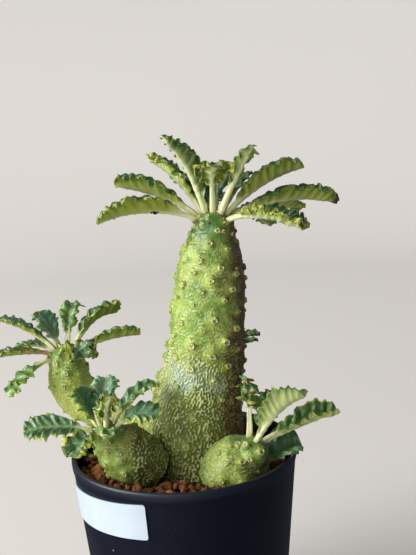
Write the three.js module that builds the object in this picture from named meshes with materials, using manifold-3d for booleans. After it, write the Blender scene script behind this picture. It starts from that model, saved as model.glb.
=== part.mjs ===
import * as THREE from "three";
import { mergeVertices } from "three/addons/utils/BufferGeometryUtils.js";
import Module from "manifold-3d";

// Dorstenia lavranii in a round nursery pot. Millimetres, Z up, the origin at the centre of the
// pot's underside, X to the right and Y away from the viewer.

const wasm = await Module();
wasm.setup();

const rad = THREE.MathUtils.degToRad;

// pot
const potHeight = 74;
const potRim = 39;
const potTaper = Math.tan(rad(5.5));
const potWall = 1.4;
const potFloor = 1.8;
const drainRadius = 3.5;
const drainCircle = 19;
const drainCount = 6;

// soil
const soilLevel = 67;
const soilGap = 0.3;
const lumpCount = 36;
const lumpSize = 2.7;

// label
const labelFrom = -172;
const labelTo = -110;
const labelHeight = 12.3;
const labelMiddle = 62.6;
const labelTilt = 2.4;
const labelGap = 0.3;
const labelThick = 0.7;

// caudex: x, y, z and radius along the middle of each limb
const trunk = [
  [4, 3, 42, 8],
  [4, 3, 52, 14],
  [4, 3, 62, 17.2],
  [4, 3, 71, 18.2],
  [4.2, 3, 80, 18],
  [5.6, 3, 91, 16.2],
  [7.8, 2.7, 100.4, 14.4],
  [9.8, 2.4, 109.5, 13.4],
  [10.8, 2.2, 118, 12.9],
  [12.1, 2.1, 130, 12.1],
  [13.3, 2, 140, 10.2],
];
const leftBackLimb = [
  [0, 3, 76, 6.6],
  [-8, 4.4, 78, 6],
  [-14, 6, 79.6, 5.8],
  [-22, 9.8, 82, 5.9],
  [-31, 13.8, 85.4, 6.5],
  [-38, 16.8, 90.2, 7.4],
  [-40.2, 18.2, 96.5, 7.4],
];
const leftFrontLimb = [
  [-10, -10.4, 71, 7],
  [-14.2, -12.2, 74.2, 8.9],
  [-18, -14, 77.4, 9.3],
  [-21.6, -15.8, 81, 8.3],
];
const rightFrontLimb = [
  [9.5, -11, 65.6, 7.6],
  [12.7, -12.5, 68.4, 9.6],
  [15.9, -14, 71.2, 10.1],
  [19, -15.5, 74, 9],
];
const backLimb = [
  [6, 8, 82, 8],
  [9, 16, 84, 6.6],
  [11, 23, 87.4, 5.8],
  [12.2, 27.4, 91, 5.4],
];

// crowns: the middle and the radius of the dome that ends each limb, the way it leans, and the
// leaves grown from it.
// A leaf is [azimuth, rise, droop, sway, length, half width, fold, roll], lengths in millimetres,
// angles in degrees, azimuth from +X towards +Y.
const crowns = {
  main: {
    middle: [14.3, 2, 148.4],
    radius: 7.2,
    lean: [0, 0, 1],
    stations: 16,
    leaves: [
      [186, 14, 36, 0, 34, 6, 52, 0],
      [162, 28, 24, 0, 31.5, 5.8, 52, 0],
      [141, 50, 30, 0, 28, 4.6, 42, -10],
      [202, 72, 34, 0, 29, 6.2, 34, 0],
      [130, 84, 30, 0, 10.5, 2.4, 40, 0],
      [-90, 72, 55, 0, 20, 4.2, 40, 0],
      [-48, 54, 6, 0, 26, 5, 38, 0],
      [74, 60, 32, 0, 20, 4.8, 36, 0],
      [22, 54, 22, 0, 17, 3.4, 40, 0],
      [-10, 39, 30, 0, 30.5, 5.4, 50, 0],
      [10, 14, 34, 0, 39.5, 6.2, 52, 0],
      [-38, 4, 30, 0, 29.5, 6, 42, 0],
      [62, -4, 28, 0, 34, 5, 44, 0],
      [37, 6, 28, 0, 36, 5.2, 44, 0],
      [88, 14, 36, 0, 31, 5.4, 44, 0],
      [112, 36, 24, 0, 25, 5, 42, 0],
    ],
  },
  left_back: {
    middle: [-40.6, 19, 101.6],
    radius: 6.6,
    lean: [0, 0, 1],
    stations: 10,
    leaves: [
      [174, 38, 26, 0, 23, 4.4, 42, 0],
      [139, 50, 0, 0, 15, 4.8, 30, 0],
      [84, 60, 60, 0, 20, 4.4, 42, 0],
      [38, 46, 62, 0, 22.5, 5, 46, 0],
      [8, 13, 18, 0, 22.5, 4.4, 50, 0],
      [190, 2, 8, 0, 19, 4.4, 46, 0],
      [212, -30, 16, 0, 19.5, 4.4, 36, 0],
      [-76, 30, 60, 0, 12, 5.6, 22, 0],
      [154, 8, 34, 0, 15.5, 3.8, 40, 0],
    ],
  },
  left_front: {
    middle: [-24.8, -17.5, 85.2],
    radius: 5.2,
    lean: [-0.12, -0.05, 1],
    stations: 10,
    leaves: [
      [184, 8, 24, 0, 22.5, 5, 38, 0],
      [158, 56, -8, 0, 14, 4.2, 36, 0],
      [88, 62, 50, 0, 17, 4.4, 40, 0],
      [-64, 78, 40, 0, 13.5, 2.8, 40, 0],
      [24, 46, 48, 0, 20, 4.2, 48, 0],
      [-10, 28, 50, 0, 15, 4.6, 38, 0],
      [236, 4, 66, 0, 12, 4.4, 34, 0],
      [200, 84, 10, 0, 5.5, 1.6, 40, 0],
      [-76, 22, 50, 0, 8, 2.2, 36, 0],
    ],
  },
  right_front: {
    middle: [22.2, -17, 76.6],
    radius: 5.4,
    lean: [0.14, -0.06, 1],
    stations: 10,
    leaves: [
      [86, 78, 12, 0, 18.5, 3.8, 36, 0],
      [-28, 56, 38, 0, 24, 7, 42, 0],
      [12, 16, 12, 0, 28, 5, 36, 0],
      [54, 44, 10, 0, 18, 3, 44, 0],
    ],
  },
  back: {
    middle: [12.6, 29.2, 93.2],
    radius: 4.8,
    lean: [0, 0.1, 1],
    stations: 10,
    leaves: [
      [-12, 46, 56, 0, 18.5, 3.6, 40, 0],
      [28, 18, 24, 0, 17, 3.6, 40, 0],
      [92, 26, 36, 0, 19, 4, 40, 0],
      [150, 36, 36, 0, 15, 3.6, 40, 0],
      [205, 48, 40, 0, 13, 3.2, 40, 0],
      [-80, 74, 30, 0, 11, 2.6, 40, 0],
    ],
  },
  bud: {
    middle: [25.2, -14, 69.6],
    radius: 2.8,
    lean: [0, 0, 1],
    stations: 10,
    leaves: [[4, 20, 10, 0, 13, 4.8, 30, 0]],
  },
};
const leafGap = 0.35;
const leafThick = 0.9;
const ribHalfWidth = 1.2;
const ribDepth = 0.9;
const ruffle = 0.95;

// knobs: leaf scars standing on the skin in spiral rows
const knobRadius = 1.25;
const knobHeight = 0.9;
const goldenAngle = 137.5;

const black = new THREE.MeshStandardMaterial({ color: 0x1b1c20, roughness: 0.5 });
const white = new THREE.MeshStandardMaterial({ color: 0xf2f4f5, roughness: 0.6 });
const brown = new THREE.MeshStandardMaterial({ color: 0x6b3d22, roughness: 0.95 });
const skin = new THREE.MeshStandardMaterial({ color: 0x93a34e, roughness: 0.6 });
const green = new THREE.MeshStandardMaterial({ color: 0x4d7a3c, roughness: 0.5 });

// The same numbers each run, between 0 and 1.
function randomFrom(seed) {
  let state = seed;
  return () => {
    state = (state * 16807) % 2147483647;
    return state / 2147483647;
  };
}

function solidOf(geometry) {
  const bare = geometry.clone();
  bare.deleteAttribute("normal");
  bare.deleteAttribute("uv");
  const merged = mergeVertices(bare, 1e-4);
  return new wasm.Manifold(
    new wasm.Mesh({
      numProp: 3,
      vertProperties: new Float32Array(merged.attributes.position.array),
      triVerts: new Uint32Array(merged.index.array),
    }),
  );
}

function geometryOf(solid) {
  const mesh = solid.getMesh();
  const points = new Float32Array(mesh.numVert * 3);
  for (let i = 0; i < mesh.numVert; i++) {
    points.set(mesh.vertProperties.subarray(i * mesh.numProp, i * mesh.numProp + 3), i * 3);
  }
  const geometry = new THREE.BufferGeometry();
  geometry.setAttribute("position", new THREE.BufferAttribute(points, 3));
  geometry.setIndex(new THREE.BufferAttribute(new Uint32Array(mesh.triVerts), 1));
  geometry.computeVertexNormals();
  return geometry;
}

// A closed skin over rings of points, each ring an array of THREE.Vector3 running the same way.
function skinOver(rings) {
  const around = rings[0].length;
  const points = [];
  const faces = [];
  for (const ring of rings) {
    for (const p of ring) points.push(p.x, p.y, p.z);
  }
  for (let i = 0; i + 1 < rings.length; i++) {
    for (let j = 0; j < around; j++) {
      const a = i * around + j;
      const b = i * around + ((j + 1) % around);
      const c = a + around;
      const d = b + around;
      faces.push(a, b, d, a, d, c);
    }
  }
  const capAt = (first, turned) => {
    const middle = new THREE.Vector3();
    for (let j = 0; j < around; j++) {
      middle.x += points[(first + j) * 3] / around;
      middle.y += points[(first + j) * 3 + 1] / around;
      middle.z += points[(first + j) * 3 + 2] / around;
    }
    const centre = points.length / 3;
    points.push(middle.x, middle.y, middle.z);
    for (let j = 0; j < around; j++) {
      const a = first + j;
      const b = first + ((j + 1) % around);
      if (turned) faces.push(centre, b, a);
      else faces.push(centre, a, b);
    }
  };
  capAt(0, true);
  capAt((rings.length - 1) * around, false);
  const geometry = new THREE.BufferGeometry();
  geometry.setAttribute("position", new THREE.Float32BufferAttribute(points, 3));
  geometry.setIndex(faces);
  geometry.computeVertexNormals();
  return geometry;
}

function lathe(profile, segments) {
  const around = new THREE.LatheGeometry(
    profile.map(([r, z]) => new THREE.Vector2(r, z)),
    segments,
  );
  return around.rotateX(Math.PI / 2);
}

function wallRadius(z) {
  return potRim - (potHeight - z) * potTaper;
}

function makePot() {
  const profile = [
    [0, 0],
    [wallRadius(0) - 0.8, 0],
    [wallRadius(0.8), 0.8],
    [wallRadius(potHeight - 1.6), potHeight - 1.6],
    [potRim, potHeight - 0.5],
    [potRim - 0.5, potHeight],
    [potRim - potWall, potHeight],
    [potRim - potWall - 0.3, potHeight - 0.5],
    [wallRadius(potHeight - 2) - potWall, potHeight - 2],
    [wallRadius(potFloor) - potWall, potFloor],
    [0, potFloor],
  ];
  let solid = solidOf(lathe(profile, 48));
  for (let i = 0; i < drainCount; i++) {
    const angle = (i / drainCount) * 2 * Math.PI;
    const hole = new THREE.CylinderGeometry(drainRadius, drainRadius, potFloor * 3, 12);
    hole.rotateX(Math.PI / 2);
    hole.translate(drainCircle * Math.cos(angle), drainCircle * Math.sin(angle), potFloor / 2);
    solid = solid.subtract(solidOf(hole));
  }
  return geometryOf(solid);
}

function makeLabel() {
  const rings = [];
  const steps = 18;
  for (let i = 0; i <= steps; i++) {
    const share = i / steps;
    const angle = rad(labelFrom + (labelTo - labelFrom) * share);
    const middle = labelMiddle + (share - 0.5) * labelTilt;
    const low = middle - labelHeight / 2;
    const high = middle + labelHeight / 2;
    const at = (z, out) => {
      const r = wallRadius(z) + out;
      return new THREE.Vector3(r * Math.cos(angle), r * Math.sin(angle), z);
    };
    rings.push([
      at(low, labelGap),
      at(high, labelGap),
      at(high, labelGap + labelThick),
      at(low, labelGap + labelThick),
    ]);
  }
  return skinOver(rings);
}

// Stations along a limb: its own points joined by a smooth curve, then a dome of the crown's size.
function limbStations(limb, crown, grow) {
  const curve = new THREE.CatmullRomCurve3(
    limb.map(([x, y, z]) => new THREE.Vector3(x, y, z)),
    false,
    "centripetal",
  );
  const stations = [];
  const steps = Math.round((limb.length - 1) * 1.5);
  for (let i = 0; i <= steps; i++) {
    const t = i / steps;
    const k = Math.min(limb.length - 2, Math.floor(t * (limb.length - 1)));
    const part = t * (limb.length - 1) - k;
    const smooth = part * part * (3 - 2 * part);
    const radius = limb[k][3] + (limb[k + 1][3] - limb[k][3]) * smooth;
    const along = curve.getTangent(t);
    const point = curve.getPoint(t).addScaledVector(along, i ? 0 : -grow);
    stations.push({ point, along, radius: radius + grow });
  }
  if (crown) {
    const middle = new THREE.Vector3(...crown.middle);
    const last = stations[stations.length - 1];
    const along = middle.clone().sub(last.point).normalize();
    for (const angle of [0, 25, 48, 70]) {
      stations.push({
        point: middle.clone().addScaledVector(along, crown.radius * Math.sin(rad(angle))),
        along,
        radius: crown.radius * Math.cos(rad(angle)) + grow,
      });
    }
  }
  return stations;
}

function limbSolid(limb, crown, sides, grow = 0) {
  const rings = limbStations(limb, crown, grow).map(({ point, along, radius }) => {
    const side = new THREE.Vector3(0, 1, 0).cross(along).normalize();
    const up = along.clone().cross(side).normalize();
    const ring = [];
    for (let j = 0; j < sides; j++) {
      const angle = (j / sides) * 2 * Math.PI;
      ring.push(
        point
          .clone()
          .addScaledVector(side, radius * Math.cos(angle))
          .addScaledVector(up, radius * Math.sin(angle)),
      );
    }
    return ring;
  });
  return solidOf(skinOver(rings));
}

function knob(position, outward, size) {
  const profile = [
    [0, -1.8],
    [1.3 * knobRadius, 0],
    [0.75 * knobRadius, knobHeight],
    [0, knobHeight - 0.45],
  ];
  const shape = lathe(profile, 5);
  shape.scale(size, size, size);
  const turn = new THREE.Quaternion().setFromUnitVectors(new THREE.Vector3(0, 0, 1), outward);
  shape.applyQuaternion(turn);
  shape.translate(position.x, position.y, position.z);
  return solidOf(shape);
}

// Knobs in a golden-angle spiral between two shares of a limb's length.
function knobsOn(limb, crown, from, to, count, seed) {
  const random = randomFrom(seed);
  const stations = limbStations(limb, crown, 0);
  const made = [];
  for (let i = 0; i < count; i++) {
    const share = from + ((to - from) * (i + 0.5)) / count;
    const place = share * (stations.length - 1);
    const k = Math.min(stations.length - 2, Math.floor(place));
    const part = place - k;
    const a = stations[k];
    const b = stations[k + 1];
    const point = a.point.clone().lerp(b.point, part);
    const along = a.along.clone().lerp(b.along, part).normalize();
    const radius = a.radius + (b.radius - a.radius) * part;
    const slope = (a.radius - b.radius) / Math.max(0.01, a.point.distanceTo(b.point));
    const angle = rad(i * goldenAngle + (random() - 0.5) * 24);
    const side = new THREE.Vector3(0, 1, 0).cross(along).normalize();
    const up = along.clone().cross(side).normalize();
    const out = side.multiplyScalar(Math.cos(angle)).addScaledVector(up, Math.sin(angle));
    const foot = point.addScaledVector(out, radius * 0.985);
    const outward = out.clone().addScaledVector(along, slope).normalize();
    const size = 0.8 + 0.4 * random();
    if (foot.z > soilLevel + 4) made.push(knob(foot, outward, size));
  }
  return made;
}

function makeCaudex() {
  const body = [
    limbSolid(trunk, crowns.main, 24),
    limbSolid(leftBackLimb, crowns.left_back, 14),
    limbSolid(leftFrontLimb, crowns.left_front, 16),
    limbSolid(rightFrontLimb, crowns.right_front, 16),
    limbSolid(backLimb, crowns.back, 12),
  ].reduce((all, one) => all.add(one));
  const knobs = [
    ...knobsOn(trunk, crowns.main, 0.36, 0.86, 54, 11),
    ...knobsOn(leftBackLimb, crowns.left_back, 0.45, 0.82, 10, 12),
    ...knobsOn(leftFrontLimb, crowns.left_front, 0.4, 0.66, 6, 13),
    ...knobsOn(rightFrontLimb, crowns.right_front, 0.4, 0.7, 8, 14),
  ];
  return knobs.reduce((all, one) => all.add(one), body);
}

// The caudex without its knobs and a little fatter, which is the shape of its holes in the soil.
function makeSoilHoles() {
  return [
    limbSolid(trunk, null, 24, soilGap + 0.1),
    limbSolid(leftFrontLimb, null, 16, soilGap + 0.1),
    limbSolid(rightFrontLimb, null, 16, soilGap + 0.1),
  ].reduce((all, one) => all.add(one));
}

function makeSoil() {
  const random = randomFrom(5);
  const bottom = potFloor + soilGap;
  const segments = 28;
  const radii = [1, 0.84, 0.64, 0.3];
  const rings = [];
  const ringAt = (radius, height) => {
    const ring = [];
    for (let j = 0; j < segments; j++) {
      const angle = (j / segments) * 2 * Math.PI;
      ring.push(new THREE.Vector3(radius * Math.cos(angle), radius * Math.sin(angle), height(j)));
    }
    return ring;
  };
  const inside = (z) => wallRadius(z) - potWall - soilGap - 0.1;
  rings.push(ringAt(inside(bottom) * 0.5, () => bottom));
  rings.push(ringAt(inside(bottom), () => bottom));
  for (const share of radii) {
    const radius = inside(soilLevel - 1) * share;
    rings.push(ringAt(radius, () => soilLevel - 0.8 + 0.8 * (random() - 0.5)));
  }
  let solid = solidOf(skinOver(rings));
  for (let i = 0; i < lumpCount; i++) {
    const angle = rad(i * goldenAngle);
    const reach = 20 + 12.6 * Math.sqrt((i + 0.5) / lumpCount);
    const size = lumpSize * (0.75 + 0.5 * random());
    const lump = new THREE.IcosahedronGeometry(size, 0);
    lump.rotateX(random() * 6);
    lump.rotateY(random() * 6);
    lump.scale(1, 0.9, 0.75);
    lump.translate(reach * Math.cos(angle), reach * Math.sin(angle), soilLevel - 0.9);
    solid = solid.add(solidOf(lump));
  }
  return solid.subtract(makeSoilHoles());
}

// Shares of the leaf's half width along it: a narrow stalk, then a blade widest past the middle.
function leafOutline(u) {
  const x = Math.max(0, (u - 0.1) / 0.9);
  return 2.1 * x ** 0.8 * Math.max(0, 1 - x) ** 0.38;
}

// The way a leaf's midrib runs at a share u of its length: square out of the dome at first, then
// along its own rise and droop.
function leafHeading(row, first, u) {
  const [azimuth, rise, droop, sway, length] = row;
  const towards = (bearing, pitch) =>
    new THREE.Vector3(
      Math.cos(rad(bearing)) * Math.cos(rad(pitch)),
      Math.sin(rad(bearing)) * Math.cos(rad(pitch)),
      Math.sin(rad(pitch)),
    );
  const along = towards(azimuth + sway * u, rise - droop * u ** 1.6);
  const pull = first.clone().sub(towards(azimuth, rise));
  return along.addScaledVector(pull, Math.exp((-u * length) / 2.5)).normalize();
}

function makeLeaf(crown, row) {
  const [azimuth, rise, , sway, length, halfWidth, fold, roll] = row;
  const stations = crown.stations;
  const fine = 8;
  const attach = 32 + 0.52 * rise;
  const lean = new THREE.Quaternion().setFromUnitVectors(
    new THREE.Vector3(0, 0, 1),
    new THREE.Vector3(...crown.lean).normalize(),
  );
  const first = new THREE.Vector3(
    Math.cos(rad(azimuth)) * Math.cos(rad(attach)),
    Math.sin(rad(azimuth)) * Math.cos(rad(attach)),
    Math.sin(rad(attach)),
  ).applyQuaternion(lean);
  const point = new THREE.Vector3(...crown.middle).addScaledVector(first, crown.radius + leafGap);
  const bulk = 0.6 + 0.4 * Math.min(1, length / 28);
  const half = (leafThick * Math.min(1, 0.82 + length / 150)) / 2;
  const rings = [];
  for (let i = 0; i <= stations; i++) {
    const u = i / stations;
    const bearing = rad(azimuth + sway * u);
    const along = leafHeading(row, first, u);
    const side = new THREE.Vector3(Math.sin(bearing), -Math.cos(bearing), 0);
    side.addScaledVector(along, -side.dot(along)).normalize();
    side.applyAxisAngle(along, rad(roll * u));
    const up = side.clone().cross(along);
    const blade = leafOutline(u * 0.985);
    const stalk = ribHalfWidth * bulk;
    const width = Math.max(stalk * (1 - 0.5 * u), halfWidth * blade);
    const angle = rad(fold * (0.3 + 0.7 * Math.min(1, u / 0.3)) * (1 - 0.35 * u));
    const wave = u < 0.16 ? 0 : ruffle * Math.min(1, halfWidth / 5) * Math.min(1, blade * 1.4);
    const rib = Math.min(stalk * (1 - 0.62 * u), width * 0.7);
    const corner = (hand, share, offset) =>
      point
        .clone()
        .addScaledVector(side, hand * (Math.cos(angle) * share - Math.sin(angle) * offset))
        .addScaledVector(up, Math.sin(angle) * share + Math.cos(angle) * offset);
    const left = i % 2 ? wave : -wave;
    const right = i % 2 ? -wave : wave;
    rings.push([
      corner(-1, width, left + half),
      point.clone().addScaledVector(up, half),
      corner(1, width, right + half),
      corner(1, width, right - half),
      corner(1, rib, -half),
      point.clone().addScaledVector(up, -half - ribDepth * bulk * (1 - 0.8 * u)),
      corner(-1, rib, -half),
      corner(-1, width, left - half),
    ]);
    for (let k = 0; k < fine; k++) {
      const v = (i + (k + 0.5) / fine) / stations;
      point.addScaledVector(leafHeading(row, first, v), length / stations / fine);
    }
  }
  return skinOver(rings);
}

const group = new THREE.Group();
group.name = "potted_dorstenia_lavranii";

function addPiece(name, geometry, material) {
  const mesh = new THREE.Mesh(geometry, material);
  mesh.name = name;
  group.add(mesh);
}

addPiece("pot", makePot(), black);
addPiece("label", makeLabel(), white);
addPiece("soil", geometryOf(makeSoil()), brown);
addPiece("caudex", geometryOf(makeCaudex()), skin);
for (const [place, crown] of Object.entries(crowns)) {
  crown.leaves.forEach((row, i) => {
    const number = String(i + 1).padStart(2, "0");
    addPiece(`${place}_leaf_${number}`, makeLeaf(crown, row), green);
  });
}

export default group;
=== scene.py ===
import math

import bmesh
import bpy
import numpy as np
from mathutils import Matrix, Vector, noise
from mathutils.bvhtree import BVHTree


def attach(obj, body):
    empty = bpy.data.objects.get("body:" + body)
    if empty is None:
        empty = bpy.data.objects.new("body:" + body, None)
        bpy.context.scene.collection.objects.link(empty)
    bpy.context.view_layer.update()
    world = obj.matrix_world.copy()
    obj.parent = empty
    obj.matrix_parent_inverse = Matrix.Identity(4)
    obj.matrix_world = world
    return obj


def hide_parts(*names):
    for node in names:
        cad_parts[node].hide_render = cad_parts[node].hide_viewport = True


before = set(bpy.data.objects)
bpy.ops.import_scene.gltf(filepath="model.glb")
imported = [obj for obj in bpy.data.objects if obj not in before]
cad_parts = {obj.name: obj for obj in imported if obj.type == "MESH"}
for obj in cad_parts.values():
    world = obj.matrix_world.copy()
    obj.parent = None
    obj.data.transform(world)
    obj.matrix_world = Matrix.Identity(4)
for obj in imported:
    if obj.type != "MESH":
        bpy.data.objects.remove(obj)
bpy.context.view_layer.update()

# Dorstenia lavranii in a black nursery pot. Lengths below are in millimetres, in the frame of the
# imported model: Z up, X to the right, Y away from the viewer.
millimetre = 0.001
goldenAngle = 137.5


def unit(v):
    v = np.asarray(v, float)
    return v / np.maximum(np.linalg.norm(v, axis=-1, keepdims=True), 1e-12)


def towards(bearing, pitch):
    b, p = np.radians(bearing), np.radians(pitch)
    return np.stack([np.cos(b) * np.cos(p), np.sin(b) * np.cos(p), np.sin(p) + 0 * b], -1)


# A smooth step from 0 at low to 1 at high.
def fade(x, low, high):
    t = np.clip((np.asarray(x, float) - low) / (high - low), 0, 1)
    return t * t * (3 - 2 * t)


def noiseAt(points, size, shift=0.0):
    scaled = np.asarray(points) / size + shift
    return np.array([noise.noise(p) for p in scaled.tolist()])


def anglesRound(count):
    return np.arange(count) * 2 * math.pi / count


def placeObject(name, data):
    item = bpy.data.objects.new(name, data)
    bpy.context.scene.collection.objects.link(item)
    return item


def makePiece(name, points, faces, material, nodes=(), layers=None):
    mesh = bpy.data.meshes.new(name)
    mesh.from_pydata((np.asarray(points) * millimetre).tolist(), [], [list(f) for f in faces])
    for layer, values in (layers or {}).items():
        values = np.asarray(values, np.float32)
        kind, field = ("FLOAT_VECTOR", "vector") if values.ndim == 2 else ("FLOAT", "value")
        mesh.attributes.new(layer, kind, "POINT").data.foreach_set(field, values.ravel())
    mesh.polygons.foreach_set("use_smooth", [True] * len(mesh.polygons))
    mesh.materials.append(material)
    mesh.validate()
    mesh.update()
    piece = placeObject(name, mesh)
    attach(piece, "root")
    if nodes:
        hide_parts(*nodes)
    return piece


# The faces between rows of points, where the columns close into rings unless closed is false.
def gridFaces(rows, columns, closed=True, first=0):
    i, j = np.meshgrid(np.arange(rows - 1), np.arange(columns if closed else columns - 1), indexing="ij")
    a = i * columns + j
    b = i * columns + (j + 1) % columns
    return (np.stack([a, b, b + columns, a + columns], -1).reshape(-1, 4) + first).tolist()


# The faces of a closed tube: its rings, and a cap on the first ring and on the last.
def tubeFaces(rows, columns):
    last = (rows - 1) * columns
    return gridFaces(rows, columns) + [list(range(columns))[::-1], list(range(last, last + columns))]


# Several bodies, each with its points and faces, as one.
def joined(bodies):
    points, faces = [], []
    for own, ownFaces in bodies:
        first = sum(len(p) for p in points)
        points.append(own.reshape(-1, 3))
        faces += [[i + first for i in f] for f in ownFaces]
    return np.vstack(points), faces


def ballShape():
    bm = bmesh.new()
    bmesh.ops.create_icosphere(bm, subdivisions=3, radius=1)
    points = np.array([v.co[:] for v in bm.verts])
    faces = [[v.index for v in f.verts] for f in bm.faces]
    bm.free()
    return points, faces


# Shader maths: a socket that can be added, multiplied and mixed like a number.
class Wire:
    def __init__(self, tree, socket=None):
        self.tree = tree
        self.socket = socket

    def add(self, kind, settings=None, inputs=None, output=0):
        node = self.tree.nodes.new("ShaderNode" + kind)
        for key, value in (settings or {}).items():
            setattr(node, key, value)
        for key, value in (inputs or {}).items():
            if isinstance(value, Wire):
                self.tree.links.new(value.socket, node.inputs[key])
            else:
                node.inputs[key].default_value = value
        return Wire(self.tree, node.outputs[output])

    def math(self, operation, *values):
        return self.add("Math", {"operation": operation}, dict(enumerate(values)))

    def __add__(self, other):
        return self.math("ADD", self, other)

    def __radd__(self, other):
        return self.math("ADD", other, self)

    def __sub__(self, other):
        return self.math("SUBTRACT", self, other)

    def __rsub__(self, other):
        return self.math("SUBTRACT", other, self)

    def __mul__(self, other):
        return self.math("MULTIPLY", self, other)

    def __rmul__(self, other):
        return self.math("MULTIPLY", other, self)

    def clamped(self):
        return self.add("Clamp", None, {"Value": self})

    def ease(self, low, high):
        return self.add("MapRange", {"interpolation_type": "SMOOTHSTEP"},
                        {"Value": self, "From Min": low, "From Max": high})

    def mix(self, first, second, share):
        first = first if isinstance(first, Wire) else (*first, 1)
        second = second if isinstance(second, Wire) else (*second, 1)
        return self.add("Mix", {"data_type": "RGBA"}, {0: share, 6: first, 7: second}, 2)

    # colours laid over the first one in turn, each with its share
    def coats(self, colour, *coats):
        for coat, share in coats:
            colour = self.mix(colour, coat, share)
        return colour

    def noise(self, where, scale, detail=2.0, rough=0.5, warp=0.0):
        return self.add("TexNoise", None, {"Vector": where, "Scale": scale, "Detail": detail,
                                           "Roughness": rough, "Distortion": warp})

    def layer(self, name, output=2):
        return self.add("Attribute", {"attribute_name": name}, None, output)

    # the object's own coordinates in millimetres, or stretched per axis
    def place(self, stretch=(1000, 1000, 1000)):
        own = self.add("TexCoord", None, None, 3)
        return self.add("VectorMath", {"operation": "MULTIPLY"}, {0: own, 1: stretch})

    def parts(self, vector):
        return [self.add("SeparateXYZ", None, {"Vector": vector}, k) for k in range(3)]


def newMaterial(name, fixed):
    material = bpy.data.materials.new(name)
    material.use_nodes = True
    shader = material.node_tree.nodes["Principled BSDF"]
    for key, value in fixed.items():
        shader.inputs[key].default_value = value
    return material, Wire(material.node_tree), shader


def plug(shader, socket, wire):
    wire.tree.links.new(wire.socket, shader.inputs[socket])


# Fine relief of a material, its depth in millimetres.
def roughen(shader, strength, depth, height):
    bump = height.add("Bump", None, {"Strength": strength, "Distance": depth * millimetre,
                                     "Height": height})
    plug(shader, "Normal", bump)


# The camera, at the photograph's place. Its frame is in pixels, its lens and sensor in millimetres.
cameraSetup = {
    "place": (0, -286.0, 187.5),
    "yaw": 2.3,
    "pitch": 10.75,
    "roll": -3.1,
    "lens": 56,
    "sensor": 36,
    "frame": (416, 555),
    "nearest": 10,
}


def cameraAxes():
    y, p, r = (math.radians(cameraSetup[k]) for k in ("yaw", "pitch", "roll"))
    forward = np.array([math.sin(y) * math.cos(p), math.cos(y) * math.cos(p), -math.sin(p)])
    right = np.array([math.cos(y), -math.sin(y), 0])
    up = np.cross(right, forward)
    turned = math.cos(r) * right + math.sin(r) * up
    return turned, -math.sin(r) * right + math.cos(r) * up, forward


def makeCamera():
    right, up, forward = cameraAxes()
    data = bpy.data.cameras.new("photoCamera")
    data.sensor_fit = "VERTICAL"
    data.sensor_height = cameraSetup["sensor"]
    data.lens = cameraSetup["lens"]
    data.clip_start = cameraSetup["nearest"] * millimetre
    camera = placeObject("photoCamera", data)
    columns = Matrix((right, up, -forward)).transposed().to_4x4()
    camera.matrix_world = Matrix.Translation(Vector(cameraSetup["place"]) * millimetre) @ columns
    bpy.context.scene.camera = camera


# The ray from the camera through a pixel of the photograph.
def pixelRay(x, y):
    right, up, forward = cameraAxes()
    wide, high = cameraSetup["frame"]
    focal = cameraSetup["lens"] / cameraSetup["sensor"] * high
    way = forward + right * (x - wide / 2) / focal - up * (y - high / 2) / focal
    return np.array(cameraSetup["place"]), unit(way)


makeCamera()


# The pot. Its lip is given as steps out from the wall and down from the top.
potShape = {
    "height": 74,
    "rim": 39,
    "taper": math.tan(math.radians(5.5)),
    "wall": 1.4,
    "floor": 1.8,
    "middle": 10,
    "sides": 192,
    "drainRadius": 3.5,
    "drainCircle": 19,
    "drainCount": 6,
    "drainSides": 40,
    "drainDepth": 12,
    "lip": [(0.0, 6.2), (0.05, 4.6), (0.22, 3.7), (0.3, 3.0), (0.3, 1.6), (0.22, 0.8), (-0.05, 0.3),
            (-0.45, 0.02), (-0.9, 0.0), (-1.3, 0.22), (-1.5, 0.7), (-1.55, 1.6)],
}


def wallRadius(z):
    return potShape["rim"] - (potShape["height"] - z) * potShape["taper"]


def potMaterial():
    material, wire, shader = newMaterial("potPlastic", {"Specular IOR Level": 0.42})
    own = wire.place()
    hazeAndSheen = wire.noise(own, 0.045, 4, 0.6)
    streaks = wire.noise(wire.place((240, 240, 2600)), 1, 3, 0.6)
    grain = wire.noise(own, 2.4, 2)
    specks = wire.noise(own, 0.62, 1).ease(0.795, 0.83)
    # lip: a painted highlight, a paler bluish band over the top of the lip
    lip = wire.parts(own)[2].ease(potShape["height"] - 3.5, potShape["height"] - 1.4)
    dust = (hazeAndSheen.ease(0.42, 0.8) * 0.5 + streaks.ease(0.5, 0.8) * 0.35).clamped()
    colour = wire.coats((0.0040, 0.0047, 0.0115),
                        ((0.012, 0.013, 0.025), dust),
                        ((0.020, 0.025, 0.040), lip * 0.5),
                        ((0.42, 0.42, 0.44), specks * 0.75))
    plug(shader, "Base Color", colour)
    plug(shader, "Roughness", 0.36 + dust * 0.16 + grain * 0.06 + specks * 0.2)
    roughen(shader, 0.22, 0.2, grain * 0.6 + streaks * 0.8 + hazeAndSheen * 0.6)
    return material


# The pot's section from the middle of its underside, up the wall, over the lip and down inside.
def potProfile():
    top, wall, floor, middle = (potShape[k] for k in ("height", "wall", "floor", "middle"))
    foot = [(middle, 0), (wallRadius(0) - 2.4, 0), (wallRadius(0) - 1.2, 0.15),
            (wallRadius(0.5) - 0.35, 0.5), (wallRadius(1.2), 1.2)]
    outside = [(wallRadius(z), z) for z in np.linspace(6, top - 9, 14)]
    lip = [(wallRadius(top - down) + out, top - down) for out, down in potShape["lip"]]
    inside = [(wallRadius(z) - wall, z) for z in np.linspace(top - 4, floor + 1.2, 12)]
    corner = wallRadius(floor) - wall
    bottom = [(corner - 0.5, floor + 0.3), (corner - 1.4, floor), (middle, floor)]
    return foot + outside + lip + inside + bottom


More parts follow.
